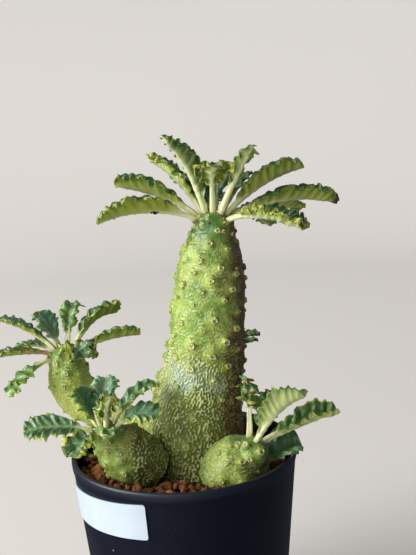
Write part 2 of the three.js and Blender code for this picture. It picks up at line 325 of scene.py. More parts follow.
def cutDrains(pot):
    cutter = bmesh.new()
    radius = potShape["drainRadius"] * millimetre
    for a in anglesRound(potShape["drainCount"]):
        out = Vector((math.cos(a), math.sin(a), 0)) * potShape["drainCircle"] * millimetre
        bmesh.ops.create_cone(cutter, cap_ends=True, segments=potShape["drainSides"], radius1=radius,
                              radius2=radius, depth=potShape["drainDepth"] * millimetre,
                              matrix=Matrix.Translation(out))
    holes = bpy.data.meshes.new("drainCutter")
    cutter.to_mesh(holes)
    cutter.free()
    tool = placeObject("drainCutter", holes)
    cut = pot.modifiers.new("drains", "BOOLEAN")
    cut.operation = "DIFFERENCE"
    cut.solver = "EXACT"
    cut.object = tool
    drained = bpy.data.meshes.new_from_object(pot.evaluated_get(bpy.context.evaluated_depsgraph_get()))
    pot.modifiers.clear()
    pot.data = drained
    bpy.data.objects.remove(tool)
    drained.polygons.foreach_set("use_smooth", [abs(p.normal.z) <= 0.999 for p in drained.polygons])


def makePot():
    rings, angles = potProfile(), anglesRound(potShape["sides"])
    points = [(r * math.cos(a), r * math.sin(a), z) for r, z in rings for a in angles]
    faces = tubeFaces(len(rings), len(angles))
    cutDrains(makePiece("potShell", points, faces, potMaterial(), ["pot"]))


makePot()
print("pot made")


# The label: a blank white sticker that follows the wall. Its ends are bearings in degrees.
labelShape = {
    "from": -169.5,
    "to": -110,
    "height": 12.3,
    "taper": 0.08,
    "middle": 62.3,
    "tilt": 3.0,
    "gap": 0.12,
    "thick": 0.35,
    "corner": 0.7,
    "across": 96,
    "up": 16,
}


def labelMaterial():
    material, wire, shader = newMaterial("labelPaper", {"Specular IOR Level": 0.45})
    own = wire.place()
    fibre = wire.noise(own, 1.6, 4, 0.6)
    soft = wire.noise(own, 0.12, 2)
    colour = wire.coats((0.52, 0.60, 0.69),
                        ((0.55, 0.63, 0.71), soft.ease(0.35, 0.65)),
                        ((0.50, 0.60, 0.70), fibre.ease(0.62, 0.8) * 0.35))
    plug(shader, "Base Color", colour)
    plug(shader, "Roughness", 0.42 + fibre * 0.12)
    roughen(shader, 0.15, 0.05, fibre)
    return material


# Points of one side of the label, this far out from the wall, with its corners rounded off.
def labelSheet(out):
    start, end, corner = (labelShape[k] for k in ("from", "to", "corner"))
    wide = math.radians(end - start) * wallRadius(labelShape["middle"])
    points = []
    for s in np.linspace(0, 1, labelShape["across"] + 1):
        trim = max(0, corner - min(s, 1 - s) * wide)
        inset = corner - math.sqrt(max(0, corner**2 - trim**2))
        angle = math.radians(start + (end - start) * s)
        middle = labelShape["middle"] + (s - 0.5) * labelShape["tilt"]
        half = labelShape["height"] / 2 * (1 - labelShape["taper"] * (1 - s)) - inset
        for t in np.linspace(0, 1, labelShape["up"] + 1):
            z = middle + (2 * t - 1) * half
            r = wallRadius(z) + out
            points.append((r * math.cos(angle), r * math.sin(angle), z))
    return points


def makeLabel():
    rows, columns = labelShape["across"] + 1, labelShape["up"] + 1
    sheet = rows * columns
    points = labelSheet(labelShape["gap"]) + labelSheet(labelShape["gap"] + labelShape["thick"])
    inner = [f[::-1] for f in gridFaces(rows, columns, closed=False)]
    outer = gridFaces(rows, columns, closed=False, first=sheet)
    rim = [i * columns for i in range(rows)] + [(rows - 1) * columns + j for j in range(1, columns)]
    rim += [i * columns + columns - 1 for i in range(rows - 2, -1, -1)] + list(range(columns - 2, 0, -1))
    sides = [[a, b, b + sheet, a + sheet] for a, b in zip(rim, rim[1:] + rim[:1])]
    label = makePiece("blankLabel", points, inner + outer + sides, labelMaterial(), ["label"])
    mesh = label.data
    mesh.polygons.foreach_set("use_smooth", [k < 2 * len(inner) for k in range(len(mesh.polygons))])
    bm = bmesh.new()
    bm.from_mesh(mesh)
    bmesh.ops.recalc_face_normals(bm, faces=bm.faces)
    bm.to_mesh(mesh)
    bm.free()
    for edge in mesh.edges:
        if abs(edge.vertices[0] - edge.vertices[1]) == sheet:
            edge.use_edge_sharp = True


makeLabel()
print("label made")


# The caudex: each limb's middle line as x, y, z and radius, and below, the dome each limb ends in.
trunkLine = [[4, 3, 42, 8], [4, 3, 52, 14], [3.8, 3, 62, 16.8], [3.8, 3, 71, 17.5], [4.2, 3, 80, 16.9],
             [5.9, 3, 91, 15.2], [8.1, 2.7, 100.4, 13.6], [9.9, 2.4, 109.5, 13.0], [10.8, 2.2, 118, 12.7],
             [12.1, 2.1, 130, 12.0], [13.3, 2, 140, 10.2]]
leftBackLine = [[0, 3, 76, 6.6], [-8, 4.4, 78, 6], [-14, 6, 79.6, 5.8], [-22, 9.8, 82, 5.9],
                [-31, 13.8, 85.4, 6.5], [-38, 16.8, 90.2, 7.4], [-40.2, 18.2, 96.5, 7.4]]
leftFrontLine = [[-10, -10.4, 71, 7], [-14.2, -12.2, 74.2, 8.9], [-18, -14, 77.4, 9.3],
                 [-21.6, -15.8, 81, 8.3]]
rightFrontLine = [[9.5, -11, 65.6, 7.6], [12.7, -12.5, 68.4, 9.6], [15.9, -14, 71.2, 10.1],
                  [19, -15.5, 74, 9]]
backLine = [[6, 8, 82, 8], [9, 16, 84, 6.6], [11, 23, 87.4, 5.8], [12.2, 27.4, 91, 5.4]]

crowns = {
    "main": {"line": trunkLine, "middle": [14.3, 2, 148.4], "radius": 7.2, "lean": [0, 0, 1]},
    "left_back": {"line": leftBackLine, "middle": [-40.6, 19, 101.6], "radius": 6.6, "lean": [0, 0, 1]},
    "left_front": {"line": leftFrontLine, "middle": [-24.8, -17.5, 85.2], "radius": 5.2,
                   "lean": [-0.12, -0.05, 1]},
    "right_front": {"line": rightFrontLine, "middle": [22.2, -17, 76.6], "radius": 5.4,
                    "lean": [0.14, -0.06, 1]},
    "back": {"line": backLine, "middle": [12.6, 29.2, 93.2], "radius": 4.8, "lean": [0, 0.1, 1]},
    "bud": {"line": None, "middle": [25.2, -14, 69.6], "radius": 2.8, "lean": [0, 0, 1]},
}

# The step of the skin's mesh on each limb, how strong the worm-like wrinkles are on the branches, and
# the relief of the skin. The trunk's smoother upper part starts between the heights of upperFrom,
# and its wrinkles run around it from those of aroundFrom.
caudexShape = {
    "step": {"main": 0.345, "left_back": 0.34, "left_front": 0.33, "right_front": 0.33, "back": 0.4,
             "bud": 0.4},
    "wormy": {"left_back": 0.35, "left_front": 0.95, "right_front": 0.4, "back": 0.6, "bud": 0.2},
    "footHeight": 58,
    "budRoot": (0.9, -0.3, 4.0),
    "splineParts": 12,
    "domeRings": 24,
    "lumpSize": 9.0,
    "lumpHeight": 0.4,
    "dimpleSize": 3.1,
    "dimpleHeight": 0.22,
    "wrinkleHeight": 0.25,
    "moundReach": 1.85,
    "moundHeight": 0.68,
    "foldSpacing": 1.15,
    "foldReach": 1.1,
    "upperFrom": (98, 118),
    "aroundFrom": (100, 116),
    "wormRounds": 36,
    "wormSpacing": 3,
    "firstSeed": 3,
}


# Points and radii along a limb at equal steps over its skin, ending over the dome of its crown.
def limbCurve(crown, step):
    middle, radius = np.array(crown["middle"], float), crown["radius"]
    parts = np.arange(caudexShape["splineParts"]) / caudexShape["splineParts"]
    rows = []
    if crown["line"]:
        line = np.array(crown["line"], float)
        padded = np.vstack([2 * line[0] - line[1], line, 2 * line[-1] - line[-2]])
        for k in range(len(line) - 1):
            a, b, c, d = padded[k:k + 4, :3]
            for part in parts:
                point = 0.5 * (2 * b + (c - a) * part + (2 * a - 5 * b + 4 * c - d) * part**2
                               + (3 * b - a - 3 * c + d) * part**3)
                rows.append([*point, line[k, 3] + (line[k + 1, 3] - line[k, 3]) * fade(part, 0, 1)])
        last = line[-1]
    else:
        last = np.array([*(middle - caudexShape["budRoot"]), radius * 0.8])
    along = unit(middle - last[:3])
    for part in parts:
        point = last[:3] + (middle - last[:3]) * part
        rows.append([*point, last[3] + (radius - last[3]) * fade(part, 0, 1)])
    for angle in np.radians(np.linspace(0, 88, caudexShape["domeRings"])):
        rows.append([*(middle + along * radius * math.sin(angle)), radius * math.cos(angle)])
    rows = np.array(rows)
    if crown["line"] is trunkLine:
        rows = rows[rows[:, 2] > caudexShape["footHeight"]]
    walked = np.concatenate([[0], np.cumsum(np.linalg.norm(np.diff(rows, axis=0), axis=1))])
    even = np.linspace(0, walked[-1], max(12, round(walked[-1] / step)) + 1)
    return np.stack([np.interp(even, walked, column) for column in rows.T], -1)


# A limb's smooth skin as a grid of points, the way out at each, and its faces.
def limbSkin(name):
    step = caudexShape["step"][name]
    rows = limbCurve(crowns[name], step)
    along = unit(np.gradient(rows[:, :3], axis=0))
    spread = max(3, int(3 / step))
    kernel = np.hanning(2 * spread + 1)
    padded = np.vstack([along[:1]] * spread + [along] + [along[-1:]] * spread)
    along = unit(np.stack([np.convolve(c, kernel / kernel.sum(), "valid") for c in padded.T], -1))
    side = unit(np.cross([0, 1, 0], along))
    up = np.cross(along, side)
    columns = max(24, round(2 * math.pi * rows[:, 3].max() / step))
    angles = anglesRound(columns)
    grid = rows[:, None, :3] + rows[:, 3, None, None] * (
        side[:, None] * np.cos(angles)[None, :, None] + up[:, None] * np.sin(angles)[None, :, None])
    around = np.roll(grid, -1, 1) - np.roll(grid, 1, 1)
    out = unit(np.cross(around, np.gradient(grid, axis=0)))
    return grid, out, tubeFaces(len(rows), columns)


# Worm-like wrinkles grown over a limb's grid: a fine smoothing set against a coarse one, with
# lengthwise above 0 for ridges along the limb and below 0 for ridges around it.
def wormPattern(shape, lengthwise, seed):
    random = np.random.default_rng(seed)
    pattern = random.standard_normal(shape)
    uneven = random.standard_normal(shape)

    def evened(values, share, along=0.5):
        padded = np.vstack([values[:1], values, values[-1:]])
        lengths = (padded[2:] + padded[:-2]) / 2
        arounds = (np.roll(values, 1, 1) + np.roll(values, -1, 1)) / 2
        return values + (lengths * along + arounds * (1 - along) - values) * share

    for _ in range(6):
        uneven = evened(uneven, 0.9)
    uneven = uneven / uneven.std()
    for _ in range(caudexShape["wormRounds"]):
        fine = evened(evened(pattern, 0.46), 0.42 * np.abs(lengthwise), lengthwise > 0)
        coarse = fine
        for _ in range(caudexShape["wormSpacing"]):
            coarse = evened(coarse, 0.9)
        pattern = fine - coarse
        pattern = np.tanh(pattern / pattern.std() * 1.15 - 0.26 + 0.4 * uneven)
    return pattern


def skinTree(grids):
    points, faces = joined(zip(grids, (own for _, _, own in skins.values())))
    return BVHTree.FromPolygons(points.tolist(), faces)


skins = {name: limbSkin(name) for name in crowns}
plainTree = skinTree([grid for grid, _, _ in skins.values()])
print("limbs laid out,", sum(len(faces) for _, _, faces in skins.values()), "faces")


# Where the camera's ray through a pixel meets the plain skin, and the way that the skin faces there.
def seenAt(x, y):
    start, way = pixelRay(x, y)
    return plainTree.ray_cast(Vector(start), Vector(way), 500)[:2]


# Leaf scars: by pixel and size where the photograph shows them, and in spiral rows elsewhere.
scarsSeen = {
    "ring": [
        (200.5, 218, 0.9), (208, 217.5, 0.8), (203, 225, 1.0), (196, 235, 1.1), (217.5, 230.5, 1.0),
        (188.5, 246, 1.0), (210, 244.5, 1.15), (227.5, 250, 1.0), (182, 260, 0.9), (201, 260, 1.15),
        (220, 268.5, 1.15), (194.5, 273, 1.15), (235.5, 274, 1.0), (211.5, 282, 1.1), (184.5, 285, 1.15),
        (231.5, 289, 1.1), (178, 297, 1.1), (202, 293, 0.9), (224, 300.5, 0.9), (193.5, 305, 0.7),
        (172.5, 309.5, 1.0), (183, 323, 1.15), (214, 320.5, 1.2), (203, 331, 0.9), (235, 328.5, 1.2),
        (175.5, 335, 1.0), (193, 345.5, 1.35), (225, 342, 1.4), (177.5, 357, 1.2), (212.2, 355.5, 1.5),
        (226.7, 365.5, 1.3), (191.7, 369, 1.2), (174, 382, 0.8), (214.5, 381, 1.2), (178, 388, 0.8),
        (194, 389, 0.7), (175, 400.5, 0.8), (194, 419, 1.0), (168.5, 427, 0.8), (187, 447, 1.4),
        (222, 400, 0.8), (246.5, 445.5, 1.2), (230.5, 446, 0.8), (238, 445.5, 1.1), (260, 452.5, 1.3),
        (250, 458.5, 1.2), (241.5, 463, 1.2), (227.5, 463.5, 0.9), (219, 454.5, 0.8), (257.5, 470.5, 0.9),
        (222.5, 481, 1.0), (243, 481.5, 1.5), (108, 442.5, 1.0), (108, 452.5, 0.9), (120, 454, 0.8),
        (120.6, 461, 0.8), (105.8, 464, 0.7), (125, 473, 1.0), (57, 364, 1.1), (71, 362, 1.1),
        (55.5, 374, 1.0), (67, 374, 1.0), (79, 374, 0.9), (64.5, 388, 0.9), (55, 386.5, 0.8),
        (86, 364.5, 1.0), (90, 372, 1.0),
    ],
    "dot": [
        (223.3, 231.5, 2.0), (232, 234, 1.8), (201, 256, 0.8), (194, 269, 0.8), (236.5, 269, 1.2),
        (212, 277, 0.8), (200, 289.5, 0.7), (183, 316.5, 0.8), (211.5, 315.5, 1.0), (192, 340, 0.9),
        (177.5, 350, 0.8), (190.5, 363.5, 0.9), (174.5, 377, 0.7), (192.5, 415.5, 0.9), (232, 460, 0.7),
        (135, 438, 0.8), (203, 325.5, 0.7),
    ],
}
# The spiral rows are in fills: where they start and end along each limb, and how many scars they try.
scarShape = {
    "radius": 0.80,
    "height": 0.42,
    "sides": 16,
    "lowest": 70,
    "lowestSeen": 68,
    "spacing": 2.9,
    "spacingInFront": 5.2,
    "frontTop": 143,
    "sizes": (0.75, 1.15),
    "squash": (0.62, 1.0),
    "strength": (0.45, 0.95),
    "wobble": 0.22,
    "dotShare": 0.6,
    "dotSize": 0.8,
    "dotAbove": 1.9,
    "fillSeed": 21,
    "wobbleSeed": 8,
    "fills": {"main": (0.30, 0.985, 190), "left_back": (0.45, 0.97, 46), "left_front": (0.35, 0.96, 30),
              "right_front": (0.35, 0.96, 30), "back": (0.4, 0.97, 34)},
}
# Share of the radius, share of the height, and how far through the scar: 0 skin, 1 ring, 2 middle.
scarProfiles = {
    "ring": [(1.7, -0.9, 0.0), (1.4, -0.2, 0.0), (1.2, 0.35, 0.1), (1.04, 0.85, 0.5), (0.94, 1.0, 1.0),
             (0.84, 1.0, 1.0), (0.72, 0.86, 1.1), (0.52, 0.66, 1.6), (0.25, 0.66, 1.9), (0.0, 0.74, 2.0)],
    "dot": [(0.85, -0.6, 0.0), (0.66, 0.1, 0.1), (0.5, 0.6, 1.0), (0.32, 0.9, 2.4), (0.0, 1.0, 2.6)],
}


def scarPlaces():
    places = []
    for kind, rows in scarsSeen.items():
        for x, y, size in rows:
            spot, normal = seenAt(x, y)
            if spot is not None and spot.z > scarShape["lowestSeen"]:
                places.append((kind, np.array(spot), np.array(normal), size))
    random = np.random.default_rng(scarShape["fillSeed"])
    for name, (low, high, count) in scarShape["fills"].items():
        grid, out, _ = skins[name]
        for k in range(count):
            row = int((low + (high - low) * (k + 0.5) / count) * (len(grid) - 1))
            column = int((k * goldenAngle / 360 + random.uniform(-0.04, 0.04)) % 1 * grid.shape[1])
            size = random.uniform(*scarShape["sizes"])
            away = out[row, column]
            spot, normal = plainTree.ray_cast(Vector(grid[row, column] + away * 3), Vector(-away), 3.6)[:2]
            if spot is None or spot.z < scarShape["lowest"]:
                continue
            spot, normal = np.array(spot), np.array(normal)
            seen = normal @ unit(np.array(cameraSetup["place"]) - spot) > 0.12
            inFront = seen and name != "back" and spot[2] < scarShape["frontTop"]
            spacing = scarShape["spacingInFront" if inFront else "spacing"]
            if min(np.linalg.norm(spot - p[1]) for p in places) > spacing and normal @ away > 0.3:
                places.append(("ring", spot, normal, size))
                if random.random() < scarShape["dotShare"]:
                    up = unit(np.array([0, 0, 1]) - normal * normal[2])
                    over = Vector(spot + up * scarShape["dotAbove"] * size)
                    dot, face = (np.array(v) for v in plainTree.find_nearest(over)[:2])
                    places.append(("dot", dot, face, size * scarShape["dotSize"]))
    return places


scars = scarPlaces()
print("leaf scars", len(scars))


def skinMaterial():
    material, wire, shader = newMaterial("skin", {"Specular IOR Level": 0.5, "Subsurface Weight": 0.12,
                                                  "Subsurface Radius": (0.6, 1.0, 0.2),
                                                  "Subsurface Scale": 0.0012, "Coat Roughness": 0.18})
    own = wire.place()
    worm = wire.layer("worm")
    scar = wire.layer("scar")
    crown, mound, wound = wire.parts(wire.layer("place", 1))
    upper, hazeAndSheen, brownAndShade = wire.parts(wire.layer("tone", 1))
    patches = wire.noise(own, 0.085, 3, 0.55)
    blots = wire.noise(wire.place((700, 700, 1000)), 0.34, 4, 0.65, 0.8)
    flecks = wire.noise(wire.place((1000, 1000, 620)), 1.25, 4, 0.7)
    fibres = wire.noise(wire.place((1000, 1000, 380)), 1.7, 3, 0.65, 1.2)
    low = wire.mix((0.175, 0.218, 0.024), (0.310, 0.365, 0.056), patches.ease(0.35, 0.65))
    high = wire.mix((0.200, 0.320, 0.034), (0.410, 0.530, 0.100), patches.ease(0.36, 0.64))
    clean = 1 - brownAndShade * 0.62
    crest = (worm * (1 + upper * 1.7)).ease(0.42, 1.0)
    colour = wire.coats(
        low,
        (high, upper),
        ((0.075, 0.185, 0.013), blots.ease(0.47, 0.63) * (0.3 + upper * 0.45)),
        ((0.46, 0.50, 0.075), (mound * 0.4).clamped()),
        # painted shade: darker in the grooves between the wrinkles
        ((0.085, 0.092, 0.014), (1 - worm.ease(-1.0, 0.1)) * (0.55 - upper * 0.3)),
        # partly painted shade: the flank facing away from the key lamp turns brown, together with real
        # brown patches and the dry heart of the crowns
        ((0.130, 0.060, 0.016), (brownAndShade * (0.6 + patches * 0.7)).clamped()),
        ((0.68, 0.71, 0.36), crest * (0.9 - upper * 0.5) * clean),
        ((0.60, 0.66, 0.36), fibres.ease(0.52, 0.66) * (0.15 + upper * 0.5) * clean),
        ((0.74, 0.76, 0.50), flecks.ease(0.58, 0.70) * 0.55 * clean),
        # painted sheen: a pale bluish cloud low on the trunk's front
        ((0.52, 0.64, 0.54), hazeAndSheen * (0.28 + flecks * 0.4)),
        ((0.065, 0.180, 0.035), crown * (0.9 - brownAndShade * 0.9)),
        ((0.70, 0.66, 0.45), scar.ease(0.35, 0.95)),
        ((0.34, 0.31, 0.11), scar.ease(1.05, 1.6)),
        ((0.50, 0.12, 0.025), scar.ease(2.05, 2.35)),
        ((0.045, 0.020, 0.010), wound.ease(0.45, 0.8)))
    plug(shader, "Base Color", colour)
    plug(shader, "Roughness", (0.38 + worm.ease(-0.5, 1) * 0.12 + flecks * 0.16 - crown * 0.18).clamped())
    plug(shader, "Coat Weight", (crown * 0.4 + upper * 0.16).clamped())
    roughen(shader, 0.5, 0.3, fibres * 0.6 + flecks * 0.5 + worm * 0.25)
    return material


skinFinish = skinMaterial()

# The dark split on the right of the front branch: by pixel, with its half width and half height,
# its depth and how far from its middle it ends.
woundSeen = {"middle": (267.5, 455), "half": (0.9, 2.6), "depth": 0.5, "reach": 5}
# The pale cloud low on the trunk's front, a painted sheen: its middle by pixel, and how far it spreads.
cloudSeen = {"middle": (187, 385), "reach": (11, 8)}


# What the scars do to the skin: the mounds they stand on, the folds over and under them, and how
# much of the wrinkles they leave.
def scarRelief(points):
    mound, ripple, clear = np.zeros(len(points)), np.zeros(len(points)), np.ones(len(points))
    for kind, spot, _, size in scars:
        off = points - spot
        near = np.linalg.norm(off, axis=1)
        if near.min() > 3:
            continue
        share = near / (caudexShape["moundReach"] * size)
        if kind == "ring":
            mound = np.maximum(mound, np.exp(-share**2) * size)
            over = (np.abs(off[:, 2]) / np.maximum(near, 0.1)) ** 3
            folds = np.cos(2 * math.pi * (near - 1.5 * size) / caudexShape["foldSpacing"])
            ripple += folds * np.exp(-((near - 2.5 * size) / caudexShape["foldReach"]) ** 2) * over
        clear *= 1 - 0.9 * np.exp(-(share * (1.1 if kind == "ring" else 2.0)) ** 2)
    return mound, np.clip(ripple, -1, 1), clear


# How much each point belongs to a crown, and to the dry brown heart on top of the larger ones.
def crownTones(points):
    crown, heart = np.zeros(len(points)), np.zeros(len(points))
    for data in crowns.values():
        radius = data["radius"]
        rise = points[:, 2] - data["middle"][2]
        near = fade(np.linalg.norm(points - np.array(data["middle"]), axis=1), radius * 1.5, radius * 1.1)
        low, share = (-5, 1.0) if radius > 7 else (-1.5, 0.6)
        crown = np.maximum(crown, fade(rise, low, low + 6) * near * share)
        if radius > 6:
            heart = np.maximum(heart, fade(rise, 0.74 * radius, 0.95 * radius) * near)
    return crown, heart


# The trunk's tones: how much of it is the smoother upper part, the pale cloud, which is a painted sheen,
# and the brown flank, which is partly painted shade on the side away from the key lamp.
def trunkTones(points, outs, uneven, cloud):
    upper = fade(points[:, 2] + uneven * 14, *caudexShape["upperFrom"])
    wide, tall = cloudSeen["reach"]
    gone = np.hypot((points[:, 0] - cloud[0]) / wide, (points[:, 2] - cloud[2]) / tall)
    # painted sheen: the pale cloud, only where the skin faces the viewer
    hazeAndSheen = fade(gone + uneven * 0.9, 1.1, 0.2) * (outs[:, 1] < 0)
    # painted shade: the flank facing right, away from the key lamp, darkened to brown, and lower down
    # brown patches on the right half
    brownAndShade = fade(outs[:, 0] + uneven * 0.35 + noiseAt(points, 3.6, 5.0) * 0.25, 0.24, 0.80)
    brownPatches = 0.45 * fade(uneven, 0.05, 0.35) * fade(points[:, 2], 92, 84) * fade(outs[:, 0], -0.3, 0.3)
    return upper, hazeAndSheen, np.maximum(brownAndShade, brownPatches), 1 - 0.76 * upper


# The same for a branch. The last value of both is the strength of the wrinkles.
def branchTones(name, points, outs, uneven):
    upper = np.full(len(points), 0.9)
    # painted shade: the side facing right and down, away from the key lamp, darkened to brown
    shadedFlank = fade(outs[:, 0] * 0.8 - outs[:, 2] * 0.5 + uneven * 0.5, 0.55, 1.1)
    brownAndShade = shadedFlank * (0.65 if name in ("left_front", "right_front") else 0.5)
    strength = np.full(len(points), caudexShape["wormy"][name])
    if name == "left_front":
        strength *= 0.2 + 0.8 * fade(points[:, 0] + uneven * 4, -19, -14)
        brownPatches = 0.36 * fade(points[:, 0] + uneven * 5, -24, -15) * fade(points[:, 2], 77, 84)
        brownAndShade = np.maximum(brownAndShade, brownPatches)
        upper = upper * fade(points[:, 0] + uneven * 5, -13, -22)
    return upper, np.zeros(len(points)), brownAndShade, strength


def grownSkin(name, seed, wound, cloud):
    grid, out, faces = skins[name]
    points, outs = grid.reshape(-1, 3), out.reshape(-1, 3)
    z = grid[..., 2]
    lengthwise = np.full(z.shape, -0.06)
    if name == "main":
        lengthwise = 0.14 - 0.42 * fade(z, *caudexShape["aroundFrom"])
    worm = wormPattern(z.shape, lengthwise, seed).ravel()
    mound, ripple, clear = scarRelief(points)
    crown, heart = crownTones(points)
    uneven = noiseAt(points, caudexShape["lumpSize"], 3.0)
    if name == "main":
        upper, hazeAndSheen, brownAndShade, strength = trunkTones(points, outs, uneven, cloud)
    else:
        upper, hazeAndSheen, brownAndShade, strength = branchTones(name, points, outs, uneven)
    ridges = worm * clear * strength + ripple * upper * 0.8 * fade(uneven, -0.15, 0.2)
    ridges *= 1 - 0.5 * crown
    lumps = uneven * caudexShape["lumpHeight"]
    lumps += noiseAt(points, caudexShape["dimpleSize"], 7.0) * caudexShape["dimpleHeight"]
    off = points - wound["middle"]
    wide, tall = woundSeen["half"]
    split = np.exp(-((off @ wound["side"] / wide) ** 2) - (off @ wound["up"] / tall) ** 2)
    split *= np.linalg.norm(off, axis=1) < woundSeen["reach"]
    lift = mound * caudexShape["moundHeight"] + lumps + ridges * caudexShape["wrinkleHeight"]
    lift -= woundSeen["depth"] * split
    if name == "left_back":
        mound = np.maximum(mound, 1.7 * fade(points[:, 2] + uneven * 4, 106, 92))
    layers = {
        "worm": ridges,
        "scar": np.zeros(len(points)),
        "place": np.stack([crown, mound, split], -1),
        "tone": np.stack([upper, hazeAndSheen, np.maximum(brownAndShade, heart)], -1),
    }
    return points + outs * lift[:, None], faces, layers


def makeSkins():
    spot, normal = seenAt(*woundSeen["middle"])
    up = unit(np.array([0.1, 0, 1]) - np.array(normal) * normal[2])
    wound = {"middle": np.array(spot), "side": np.cross(up, normal), "up": up}
    cloud = seenAt(*cloudSeen["middle"])[0]
    seeds = enumerate(skins, caudexShape["firstSeed"])
    grown = {name: grownSkin(name, seed, wound, cloud) for seed, name in seeds}
    points, faces, layers = grown["main"]
    makePiece("trunkSkin", points, faces, skinFinish, ["caudex"], layers)
    branches = [grown[name] for name in skins if name != "main"]
    points, faces = joined((own, ownFaces) for own, ownFaces, _ in branches)
    layers = {key: np.concatenate([own[key] for _, _, own in branches]) for key in layers}
    makePiece("branchSkin", points, faces, skinFinish, ["caudex"], layers)
    return skinTree([grown[name][0] for name in skins])


grownTree = makeSkins()
print("skin made")


def makeScars():
    random = np.random.default_rng(scarShape["wobbleSeed"])
    sides = scarShape["sides"]
    points, faces, stages, rightward = [], [], [], []
    for kind, spot, normal, size in scars:
        foot, face = (np.array(v) for v in grownTree.find_nearest(Vector(spot))[:2])
        out = unit(0.7 * normal + 0.3 * face)
        side = unit(np.cross(out, [0.1, 0.2, 1]))
        up = np.cross(side, out)
        profile = scarProfiles[kind]
        radius, height = scarShape["radius"] * size, scarShape["height"] * size
        squash = random.uniform(*scarShape["squash"])
        strong = random.uniform(*scarShape["strength"]) if kind == "ring" else 1.0
        wobble = random.uniform(-scarShape["wobble"], scarShape["wobble"], sides)
        circle = [[math.cos(a), math.sin(a), 3.7 * size + spot[2]] for a in anglesRound(sides)]
        broken = 1 - 0.9 * np.clip(noiseAt(circle, 0.8) * 2.2, 0, 1)
        first = len(points)
        for r, h, stage in profile[:-1]:
            for j, a in enumerate(anglesRound(sides)):
                far = radius * r * (1 + wobble[j])
                rise = height * h * (1 + wobble[(j * 5) % sides] * 2.5)
                points.append(foot + side * far * math.cos(a) + up * far * squash * math.sin(a)
                              + out * rise)
                stages.append(stage * strong * broken[j] if stage <= 1 else stage)
        tip = len(points)
        points.append(foot + out * height * profile[-1][1])
        stages.append(profile[-1][2])
        rightward += [out[0]] * (len(points) - first)
        last = tip - sides
        faces += gridFaces(len(profile) - 1, sides, first=first)
        faces += [[last + j, last + (j + 1) % sides, tip] for j in range(sides)]
        faces.append([first + j for j in range(sides)][::-1])
    none = np.zeros(len(points))
    layers = {
        "worm": none,
        "scar": stages,
        "place": np.stack([none, none + 0.6, none], -1),
        # painted shade: scars facing right, away from the key lamp, are browned
        "tone": np.stack([none + 0.8, none, fade(rightward, 0.5, 0.95) * 0.8], -1),
    }
    makePiece("leafScars", points, faces, skinFinish, (), layers)


makeScars()
print("scars made")


# What leaves share. The roll is in radians, and all other angles are in degrees.
leafShape = {
    "gap": 0.35,  # from the crown's dome to the start of a leaf
    "rootDepth": 1.5,  # how far its root reaches back from there
    "rootRise": 32,  # how steeply the stalk of a level leaf leaves the crown
    "rootBend": 2.5,  # how soon the stalk bends to the leaf's own rise
    "ribHalfWidth": 1.25,
    "ribDepth": 0.95,
    "bladeThick": 0.5,
    "edgeThick": 0.24,
    "step": 0.3,  # between the rings along a leaf
    "half": 11,  # columns on either side of the rib
    "bladeWidth": 1.16,  # a factor on the half widths
    "opening": 0.16,  # the share of its length over which a blade opens
    "crimp": 0.95,  # how deep its waves are
    "sway": 0.45,  # how far its margin swings slowly beside them
    "roll": 2.3,  # how far the margin rolls out
    "rollFrom": 0.60,  # the share of the half width where that begins
    "veinSlant": 0.62,
    "veinHeight": 0.18,
}
# The look of a leaf: its underside from deep to lime to cream, the yellow and the rust in its
# margin, then the bluish bloom, partly a painted sheen, and the lightness of its upper side.
leafLooks = {
    "lime": (0.52, 0.45, 0.1, 0.15, 0.3),
    "green": (0.56, 0.22, 0.0, 0.35, 0.1),
    "fresh": (0.56, 0.75, 0.04, 0.45, 0.45),
    "spring": (0.6, 0.85, 0.0, 0.15, 0.9),
    "cream": (0.95, 0.85, 0.08, 0.1, 0.3),
    "olive": (0.5, 0.12, 0.12, 0.3, 0.1),
    "deep": (0.25, 0.05, 0.05, 0.35, 0.0),
    "moss": (0.05, 0.05, 0.0, 0.2, 0.0),
    "pale": (0.78, 0.12, 0.0, 0.3, 0.1),
    "bright": (0.82, 0.9, 0.2, 0.0, 0.2),
    "teal": (0.45, 0.65, 0.0, 1.0, 0.6),
    "silver": (0.6, 0.7, 0.0, 0.9, 1.0),
    "rust": (0.55, 0.35, 0.9, 0.3, 0.3),
    "rusty": (0.62, 0.3, 0.45, 0.15, 0.35),
    "white": (1.0, 0.15, 0.0, 0.1, 0.2),
    "glossy": (0.92, 0.6, 0.0, 0.1, 0.45),
    "shady": (0.3, 0.5, 0.2, 0.2, 0.1),
    "yellowEdge": (0.5, 1.0, 0.05, 0.6, 0.75),
}
# The habits of a leaf, where its row below says nothing else.
usualHabits = {
    "bare": 0.13,  # the share of its length before the blade starts
    "wide": 1,  # a factor on its half width
    "swell": 0.85,  # how slowly the blade widens from its start
    "taper": 0.38,  # how slowly it narrows to its tip
    "tilt": 0.22,  # how much more the half nearer the viewer is folded
    "bias": 0,  # how much wider that half is
    "crumple": 1.0,  # above 1 the blade is tossed about
    "noise": 2.4,  # the size of that tossing
    "wave": 2.6,  # the length of its waves
    "crimp": 1,  # how deep they are
    "lobe": 1.2,  # how deep the scallops of its margin are
    "turn": 0,  # how far it turns about its middle line up to its tip
    "shift": (0, 0, 0),  # how far all of it is moved
    "dryTip": 0,  # how dark its tip is
}


# A leaf by its azimuth, rise, droop, length, half width, fold, look and own habits. Where no roll
# is given for the margin, it follows the crumple.
def leaf(azimuth, rise, droop, length, halfWidth, fold, look, **own):
    habits = {**usualHabits, **own}
    habits.setdefault("roll", min(1.4, habits["crumple"]))
    return {"azimuth": azimuth, "rise": rise, "droop": droop, "length": length, "fold": fold, "look": look,
            "halfWidth": halfWidth * habits["wide"], **habits}


